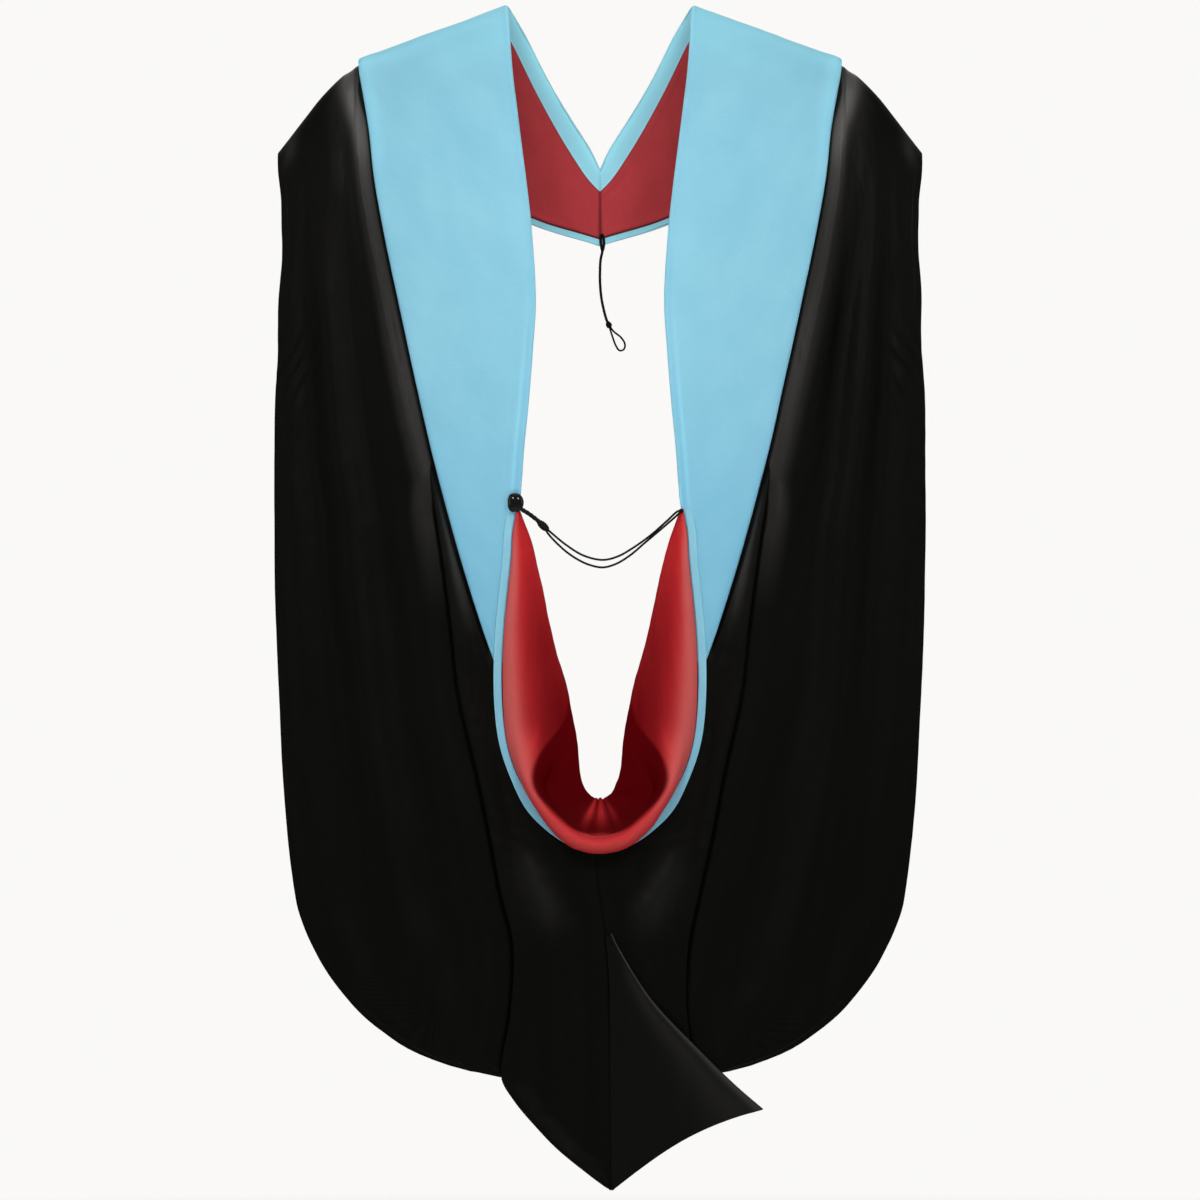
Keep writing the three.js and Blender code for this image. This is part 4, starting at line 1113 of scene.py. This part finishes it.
def make_back_panel(side, name, outer, bottom):
    down = down_steps(panel_top, bottom, panel_rows[side])
    u = across_steps(0, 1, 72)
    inner = panel_inner_out(-1, down) if side < 0 else right_inner_out(down)
    shown = ease(panel_top, panel_top + 0.022, down)
    fold = blend(inner - panel_start / half_width, along(outer, "out", down), shown)
    turn = turn_at(outer, down) / half_width
    across, turned = along(fold_section, "across", u), along(fold_section, "turned", u)
    width = np.maximum((fold - inner) * half_width, 0.5 * mm)
    least = least_fold * ease(panel_top, 0.41, down) * (1 - 0.85 * ease(0.95, 0.995, down))
    settle = 0.35 * ease(0.8, 0.88, down) if side < 0 else 0.74 * ease(0.76, 0.85, down)
    height = np.minimum(fold_lift * (1 - settle), np.maximum(least, 0.5 * width))
    tuck = seam_tuck * fall(0.53, 0.56, down) + 2 * mm * bell(down, 0.565, 0.03)
    low_end = ease(0.84, 0.90, down) * (side < 0)
    lap = seam_lap[side] * ease(0.56, 0.70, down)
    lap = lap + tail_lap * low_end * fall(0.988, 0.998, down)
    out = blend(inner - (tuck + lap) / half_width, fold, across) - turn * turned
    from_seam = across * (width + tuck + lap)
    flat_start = blend(ease(2.5 * mm, 6.5 * mm, from_seam), 1, ease(0.40, 0.46, down))
    grid = back_point(out, down, fold_lift_at(u, width, height) * flat_start)
    d = arc_lengths(grid, 1)
    dip = -seam_dip * fall(seam_tuck, seam_tuck + 6 * mm, d) * fall(0.53, 0.56, down)
    under = (seam_sink[side] + 0.6 * mm * low_end) * fall(1.2 * mm, seam_slope[side], d)
    seam = under * ease(0.68, 0.72, down)
    s = arc_lengths(grid, 0)
    soft = 0.5 * mm * ripple(51 + side, d, s * 0.35, 34 * mm)
    soft = soft + 0.15 * mm * ripple(55 + side, d, s * 0.6, 12 * mm)
    face = fall(0.72, 0.8, u)
    calm = face * ease(0, 12 * mm, d) * ease(0.40, 0.45, down)
    view = grid * np.array([side, 1, 1])
    tension = sum(height * photo_ridge(view, *line) for height, *line in tension_folds[side])
    grid = offset(grid, soft * calm + tension * face)
    grid[..., 1] -= dip + seam
    # Painted shade at the centre seam and in the groove beside the velvet; painted highlights on the strip
    # between the fold and the velvet and along the tension fold from the cowl's foot
    shade = 0.4 * fall(1.5 * mm, 3.5 * mm, d) * ease(0.70, 0.72, down)
    shade = shade + 0.7 * bell(d, 4.6 * mm, 2.0 * mm) * fall(0.53, 0.56, down)
    share = d / np.maximum(d[:, 40:41], 1e-6)
    gleam = 0.4 * bell(share, 0.62, 0.3) * ease(0.37, 0.42, down) * fall(0.47, 0.54, down)
    view = grid * np.array([-1, 1, 1])
    gleam = gleam + 0.16 * photo_ridge(view, (520, 850), (558, 935), 15 * mm)
    return add_cloth(name, "black_satin", grid, satin_wall, side, shade=shade, gleam=gleam)


turn_reach = 10 * mm
turn_hollow = 0.0102
turn_seam_dip = 0.7 * mm
tip_tuck = 7 * mm


def make_tail_turn(name):
    v = down_steps(0.03, 1, 170)
    u = across_steps(0, 1, 72)
    seam_down = blend(0.780, 1, v)
    seam_out = along(centre_seam, "out", seam_down) + (gap - 0.8 * mm) / half_width
    fold_out, fold_down = along(turn_fold, "out", v), along(turn_fold, "down", v)
    across, turned = along(fold_section, "across", u), along(fold_section, "turned", u)
    width = (fold_out - seam_out) * half_width
    turn = np.minimum(turn_reach, 0.42 * width) * turned
    out = blend(seam_out, fold_out, across) - 0.8 * turn / half_width
    hollow = turn_hollow * v * np.sin(math.pi * across)
    tucked = turned * (0.5 * turn - tip_tuck * ease(0.8, 1, v))
    down = blend(seam_down, fold_down, across) - hollow + tucked / hood_length
    height = np.minimum(fold_lift, np.maximum(least_fold, 0.4 * width))
    grid = back_point(out, down, rest_lift + fold_lift_at(u, width, height))
    d, s = arc_lengths(grid, 1), arc_lengths(grid, 0)
    face = fall(0.72, 0.8, u)
    soft = 0.6 * mm * ripple(61, d * 0.6, s, 60 * mm) + 0.12 * mm * ripple(63, d, s, 14 * mm)
    calm = face * ease(0, 14 * mm, d)
    seam = -turn_seam_dip * fall(0, 3.5 * mm, d)
    grid = offset(grid, seam + soft * calm)
    # Painted shade along the seam; painted highlights along the fold edge and beside it, and faintly
    # everywhere
    shade = 0.5 * bell(d, 0, 1.6 * mm)
    gleam = 0.42 * bell(u, 0.79, 0.04) + 0.16 * bell(u, 0.62, 0.15) * ease(0.1, 0.3, v) + 0.04
    return add_cloth(name, "black_satin", grid, satin_wall, shade=shade, gleam=gleam)


# Wings
# How strong the painted highlight beside the seam is, down the wing
wing_painted_highlight = rows(
    "down gleam",
    (0.04, 0.6), (0.055, 1.0), (0.09, 0.85), (0.14, 0.32), (0.22, 0.18), (0.30, 0.25), (0.36, 0.26),
    (0.42, 0.22), (0.47, 0.12), (0.51, 0),
)
wing_front = 0.35
wing_front_rows, wing_back_rows = 26, 230
under_panel = 0.04
crest_height, crest_place = 4.2 * mm, 21 * mm
valley_depth, valley_place = 3.6 * mm, 40 * mm
fold_height, fold_count = 1.3 * mm, 3.4
small_fold_height = 1.0 * mm
hem_line_depth = 0.35 * mm
hem_extra = 0.7 * mm
wing_reach = 14 * mm
flute_depth = 7 * mm
flute_count = 2.5


def make_wing(side, name, outer):
    bottom = wing_outer["down"][-1]
    corner_out, corner_drop = top_line["out"][-1], top_line["drop"][-1]
    start_out, start_down = velvet_outer["out"][0], velvet_outer["down"][0]
    front = np.linspace(wing_front, 0, wing_front_rows + 1)[:-1]
    fore = np.concatenate([front, np.zeros(wing_back_rows)])[:, None]
    v = np.concatenate([0 * front, np.linspace(0, 1, wing_back_rows) ** 1.35])[:, None]
    t = across_steps(0, 1, 92)
    u = 0.45 * t + 0.55 * (0.5 - 0.5 * np.cos(math.pi * t))
    tuck = seam_tuck / half_width
    ridge_out = blend(start_out - tuck, corner_out, u)
    top = along(top_line, "drop", ridge_out)
    down_in = blend(start_down, bottom, v)
    seam = along(velvet_outer, "out", down_in) - tuck
    fold = along(outer, "out", down_in)
    under = np.maximum(seam - 0.2 * ease(0.55, 0.62, down_in), fold - wing_reach / half_width)
    behind = ease(0.815, 0.85, down_in) * (side > 0)
    leaving = ease(panel_top, 0.43, down_in)
    hidden = (fold - under) * half_width * leaving + under_panel * behind * half_width
    inner = blend(seam, under, leaving) - under_panel * behind
    edge = along(wing_outer, "out", blend(corner_drop, bottom, v))
    edge = edge + 0.004 * np.sin(v * 46 + 0.6 + side * 0.4) * ease(0.05, 0.12, v) * fall(0.16, 0.3, v)
    out = blend(ridge_out, blend(inner, edge, u), ease(0, 0.06, v))
    swell = np.sin(math.pi * u) ** 1.5 * ease(0.05, 0.3, v) * fall(0.8, 1, v)
    flute = flute_depth * swell * np.sin(2 * math.pi * (u * flute_count - 0.15))
    down = blend(top, bottom, v)
    grid = back_point(out, down, flute)
    stations = np.concatenate([fore, np.zeros_like(fore)], axis=1)
    edge_share, ridge_row = np.array([[1.0]]), np.zeros((1, 2))
    band_edge, ridge = (band_base(rows_at, edge_share)[:, 0] for rows_at in (stations, ridge_row))
    pull = 0.97 * (1 - u) ** 1.3 + 0.03
    grid = grid + np.where(fore > 0, pull, 0)[..., None] * (band_edge - ridge[0])[:, None]
    grid = rounded_ridge(grid, stations, 9, 14)
    d = arc_lengths(grid, 1)
    e = d[:, -1:] - d
    shown = d - np.maximum(hidden - seam_tuck, 0)
    s = arc_lengths(grid, 0)
    sewn = fall(panel_top, 0.40, down_in)
    room = 2.0 * mm * ease(panel_top - 0.03, panel_top, down_in)
    held = 1 - 0.6 * ease(0.40, 0.47, down_in)
    dip = -(seam_dip + room) * fall(seam_tuck, seam_tuck + 6 * mm, shown) * held
    dip = dip - 2.6 * mm * fall(-3 * mm, 5 * mm, shown) * behind
    high = fall(0.42, 0.56, down) * ease(0.0, 0.02, down_in - start_down)
    crest = crest_height * bell(shown, crest_place, 9 * mm) * high * (1 - fore / wing_front)
    below_top = ease(0, 0.02, v)
    valley = -valley_depth * bell(shown, valley_place, 10 * mm) * fall(0.10, 0.17, down) * below_top
    folds = np.sin(2 * math.pi * (fold_count * u + 0.35 * np.sin(3.1 * v + side)) + 0.7)
    folds = fold_height * folds * np.sin(math.pi * u) * ease(0.04, 0.2, v) * fall(0.6, 0.95, v)
    small = bell(e, 28 * mm, 22 * mm) * bell(down, 0.30, 0.05)
    slant = (e * 0.55 + s) / (5.2 * mm) + 2 * ripple(71 + side, e, s, 60 * mm)
    small = small_fold_height * small * np.sin(slant)
    soft = 0.45 * mm * ripple(73 + side, d, s * 0.3, 40 * mm)
    soft = soft + 0.12 * mm * ripple(77 + side, d, s * 0.5, 13 * mm)
    calm = ease(6 * mm, 18 * mm, d) * ease(0, 0.03, v)
    hem_line = -hem_line_depth * bell(e, wing_hem, 1.1 * mm) * (0.8 + 0.2 * np.sin(s / (1.4 * mm)))
    grid = offset(grid, dip + crest + valley + (folds + small + soft) * calm + hem_line * below_top)
    hem = fall(wing_hem - 1.5 * mm, wing_hem + 0.5 * mm, e)
    wall = satin_wall + hem_extra * hem * below_top
    # Painted shade in the groove beside the velvet seam; painted highlight bands beside the seam,
    # broadening further down, and a painted highlight on the shoulder near the outer edge
    shade = 0.7 * bell(shown, 5.2 * mm, 2.4 * mm) * sewn
    band = bell(shown, 16 * mm, 10 * mm) + 0.3 * bell(shown, 28 * mm, 14 * mm)
    broad = ease(2 * mm, 9 * mm, shown) * fall(22 * mm, 36 * mm, shown)
    gleam = blend(band, 1.1 * broad, ease(0.16, 0.28, down)) * along(wing_painted_highlight, "gleam", down)
    gleam = gleam + 0.3 * bell(u, 0.84, 0.09) * bell(down - top, 0.010, 0.010) * (fore == 0)
    return add_cloth(name, "black_satin", grid, wall, side, shade=shade, gleam=gleam)


# Cowl; its flap spreads a little over the strip where the sides turn into the foot
flap_spread = 0.06
cowl_stations = 380
gather_height = 1.1 * mm
slack_height = 1.2 * mm
edge_bulge = 0.5 * mm


def cowl_rows(places):
    side = np.where(places > 0, 1.0, -1.0)
    reach = 1 - np.abs(places)
    near = np.linspace(-0.035, 0.035, 9)
    value = {
        key: sum(along(cowl_path, key, reach + step) for step in near) / len(near) for key in cowl_path
    }
    tip = fall(0, 0.075, reach)
    value["out"] = value["out"] - 0.012 * tip
    value["lip_out"] = value["lip_out"] + 0.008 * tip
    value["down"] = value["down"] - 0.0022 * tip
    value["lip_down"] = value["lip_down"] - 0.0022 * tip
    return side, value


def make_cowl_lining(name):
    clearance = velvet_wall / 2 + gap + lining_wall / 2
    places = down_steps(-1, 1, cowl_stations)
    u = across_steps(0, 1, 112)
    side, value = cowl_rows(places)
    section = {key: along(cowl_section, key, u) for key in cowl_section}
    foot = ease(0, 0.8, value["foot"])
    reach = 1 - np.abs(places)
    slim = 1 - 0.36 * bell(reach, 0.71, 0.09) * fall(0.5, 0.62, u)
    across = blend(section["side_across"], section["foot_across"], foot) * slim
    across = across - flap_spread * np.sin(math.pi * value["foot"]) * fall(0, 0.5, u)
    lift = blend(section["side_lift"], section["foot_lift"], foot) * value["roll"] * roll_height
    out = blend(value["out"], value["lip_out"], across)
    down = blend(value["down"], value["lip_down"], across)
    grid = back_point(side * out, down, lift + section["clear"] * clearance)
    s, d = arc_lengths(grid, 0), arc_lengths(grid, 1)
    inner = ease(0.34, 0.5, u) * fall(0.86, 0.96, u)
    gather = np.sin(places * 64 + 1.1 * np.sin(places * 23 + 0.6) + 0.4) * bell(places, 0, 0.075)
    slack = np.sin(places * 34 + 5 * u) * bell(np.abs(places), 0.3, 0.16) * 0.35
    soft = 0.35 * mm * ripple(81, s, d, 50 * mm) + 0.12 * mm * ripple(83, s, d, 12 * mm)
    calm = ease(0.06, 0.2, u) * fall(0.9, 1, u) * fall(0.9, 1, np.abs(places))
    grid = offset(grid, (gather_height * gather + slack_height * slack) * inner * calm + soft * calm)
    # Painted shade across the flap and darker painted shade in the pocket beyond the roll's crest, lifted
    # in streaks as painted highlights on the gathers at the foot, and a dark line at the outer edge;
    # painted highlights on the rolled flap and on the foot's roll
    flap = along(flap_shade, "shade", across) * along(pocket_edge, "strength", reach)
    edge, soft_edge = along(pocket_edge, "across", reach), along(pocket_edge, "soft", reach)
    pocket = ease(edge - 0.5 * soft_edge, edge + soft_edge, across)
    crest = 0.28 - 0.07 * bell(reach, 0.68, 0.09)
    beyond = ease(crest, crest + 0.12, u)
    streaks = bell(places, -0.068, 0.026) + 0.9 * bell(places, 0.010, 0.028)
    streaks = streaks + 0.4 * bell(places, 0.085, 0.022)
    centre = 0.72 * streaks * bell(across, 0.78, 0.26)
    shade = np.maximum(flap, pocket) * np.maximum(beyond, fall(0.5, 0.6, reach)) * (1 - centre)
    shade = np.clip(shade + 0.5 * bell(u, 0, 0.012), 0, 1)
    gleam = 0.52 * bell(across, 0.12, 0.17) * fall(0.4, 0.6, u) * ease(-0.03, 0.1, reach)
    gleam = blend(gleam, 0.16 * bell(u, 0.25, 0.07), foot)
    return add_cloth(name, "red_satin", grid, lining_wall, shade=shade, gleam=gleam)


def make_cowl_edge(name):
    level = velvet_wall / 2 + gap + hem_wall / 2
    places = down_steps(-1, 1, cowl_stations)
    u = across_steps(0, 1, 10)
    side, value = cowl_rows(places)
    across_x = side * (value["lip_out"] - value["out"]) * half_width
    across_z = (value["lip_down"] - value["down"]) * hood_length
    width = np.hypot(across_x, across_z)
    first = cowl_section["foot_across"][0]
    first = first * value["foot"] - flap_spread * np.sin(math.pi * value["foot"])
    start = first * width - gap - 0.6 * lining_wall - 2 * mm * value["foot"]
    broad = 1 - 0.4 * value["foot"] + 0.55 * bell(value["foot"], 0.6, 0.25)
    reach = (start - u * strip_width * broad) / width
    sunk = (hem_wall + gap) * fall(0, 0.06, 1 - np.abs(places))
    out = side * value["out"] + across_x * reach / half_width
    bulge = edge_bulge * np.sin(math.pi * u) ** 0.7
    grid = back_point(out, value["down"] + across_z * reach / hood_length, level + bulge - sunk)
    # Painted shade along the red side, darker towards the foot; a painted highlight along the velvet side
    shade = 0.25 * bell(u, 0, 0.12) + 0.3 * ease(0.3, 1.0, 1 - np.abs(places))
    gleam = 0.35 * bell(u, 1, 0.14)
    return add_cloth(name, "velvet", grid, hem_wall, shade=shade, gleam=gleam)


button_rings, button_sides = 64, 72


# Button: a glossy shanked dome, a little taller than it is wide
def make_button():
    low, high = (np.array(corner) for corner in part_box("button"))
    width, thickness, height = high - low
    centre = (low + high) / 2
    profile = rows(
        "t reach depth",
        (0, 0.0, 1.0), (0.12, 0.13, 1.0), (0.2, 0.13, 0.68), (0.3, 0.36, 0.66), (0.4, 0.47, 0.60),
        (0.5, 0.5, 0.48), (0.6, 0.49, 0.36), (0.7, 0.43, 0.22), (0.82, 0.30, 0.09), (0.92, 0.14, 0.015),
        (1, 0.0, 0.0),
    )
    t = down_steps(0, 1, button_rings)
    angle = ring_angles(button_sides)
    corner = np.sin(2 * angle) ** 2
    square = 1 + 0.12 * corner * ease(0.3, -0.4, np.cos(angle))
    square = square - 0.05 * bell(angle, math.radians(262), 0.14)
    reach = np.maximum(along(profile, "reach", t), 0.002) * square
    x = centre[0] + width * reach * np.cos(angle)
    z = centre[2] + height * reach * np.sin(angle)
    y = low[1] + thickness * along(profile, "depth", t) + 0 * angle
    grid = np.stack([x, y, z], axis=-1)
    piece = add_mesh("button_dome", grid.reshape(-1, 3), ring_faces(*grid.shape[:2]))
    place(piece, "gloss_black", "button")


for side_sign, word, panel_edge, panel_bottom in (
    (-1, "left", panel_outer_left, 0.9992), (1, "right", panel_outer_right, 0.890),
):
    make_band(side_sign, word)
    wing, wing_grid = make_wing(side_sign, f"wing_{word}", panel_edge)
    declare_sheet(wing_grid)
    panel, panel_grid = make_back_panel(side_sign, f"back_panel_{word}", panel_edge, panel_bottom)
    declare_sheet(panel_grid)

tail, tail_grid = make_tail_turn("tail_turn")
declare_sheet(tail_grid)
cowl, cowl_grid = make_cowl_lining("cowl_lining")
strip, _ = make_cowl_edge("cowl_edge")
declare_sheet(cowl_grid)
make_button()


# Studio: pale floor that fades out, pale surroundings and soft lights
def make_floor():
    radius = 2.6
    drop = 0.16
    rings, sides = 24, 96
    r = down_steps(0.001, radius, rings)
    angle = ring_angles(sides)
    grid = np.stack([r * np.cos(angle), r * np.sin(angle), 0 * r * angle - hood_length - drop], axis=-1)
    mesh = bpy.data.meshes.new("floor")
    mesh.from_pydata(grid.reshape(-1, 3).tolist(), [], ring_faces(rings, sides, capped=False).tolist())
    floor = bpy.data.objects.new("floor", mesh)
    bpy.context.scene.collection.objects.link(floor)
    material, tree, shader = start_material("floor", Roughness=0.9, Specular_IOR_Level=0.1)
    shader.inputs["Base Color"].default_value = (0.86, 0.855, 0.845, 1)
    place_of = node(tree, "ShaderNodeTexCoord").outputs["Object"]
    flat = node(tree, "ShaderNodeVectorMath", {0: place_of, 1: (1, 1, 0)}, operation="MULTIPLY")
    away = node(tree, "ShaderNodeVectorMath", {0: flat.outputs["Vector"]}, operation="LENGTH")
    inputs = {"Value": away.outputs["Value"], "From Min": 0.7, "From Max": radius, "To Min": 1, "To Max": 0}
    fade = node(tree, "ShaderNodeMapRange", inputs)
    tree.links.new(fade.outputs["Result"], shader.inputs["Alpha"])
    mesh.materials.append(material)


def make_world():
    world = bpy.data.worlds.new("studio")
    bpy.context.scene.world = world
    world.use_nodes = True
    tree = world.node_tree
    tree.nodes.clear()
    seen = node(tree, "ShaderNodeBackground", {"Color": (0.955, 0.948, 0.93, 1), "Strength": 1.0})
    light = node(tree, "ShaderNodeBackground", {"Color": (1, 1, 1, 1), "Strength": 0.30})
    path = node(tree, "ShaderNodeLightPath").outputs["Is Camera Ray"]
    mix = node(tree, "ShaderNodeMixShader", {0: path, 1: light.outputs[0], 2: seen.outputs[0]})
    node(tree, "ShaderNodeOutputWorld", {"Surface": mix.outputs[0]})


def add_light(name, place_at, aim, size, power, spread=180):
    data = bpy.data.lights.new(name, "AREA")
    data.spread = math.radians(spread)
    data.shape = "RECTANGLE"
    data.size, data.size_y = size
    data.energy = power
    light = bpy.data.objects.new(name, data)
    light.location = place_at
    direction = Vector(aim) - Vector(place_at)
    light.rotation_euler = direction.to_track_quat("-Z", "Y").to_euler()
    light.visible_glossy = spread == 180
    bpy.context.scene.collection.objects.link(light)


make_floor()
make_world()
hood_middle = (0, -0.05, -0.55)
add_light("key_left", (-0.8, -2.3, 0.65), hood_middle, (0.5, 0.5), 16.5)
add_light("key_right", (0.8, -2.3, 0.65), hood_middle, (0.5, 0.5), 16.5)
add_light("low_fill", (0, -1.7, -1.35), (0, 0.08, -0.13), (0.5, 0.4), 0.8, 40)
add_light("overhead", (0, -0.9, 1.5), (0, -0.05, -0.2), (1.6, 0.5), 5)
add_light("side_left", (-2.6, -1.4, 0.2), hood_middle, (0.9, 2.0), 8)
add_light("side_right", (2.6, -1.4, 0.2), hood_middle, (0.9, 2.0), 8)
add_light("behind_above", (0, 2.4, 1.8), hood_middle, (2.4, 1.2), 26)
bpy.context.scene.view_settings.view_transform = "Standard"
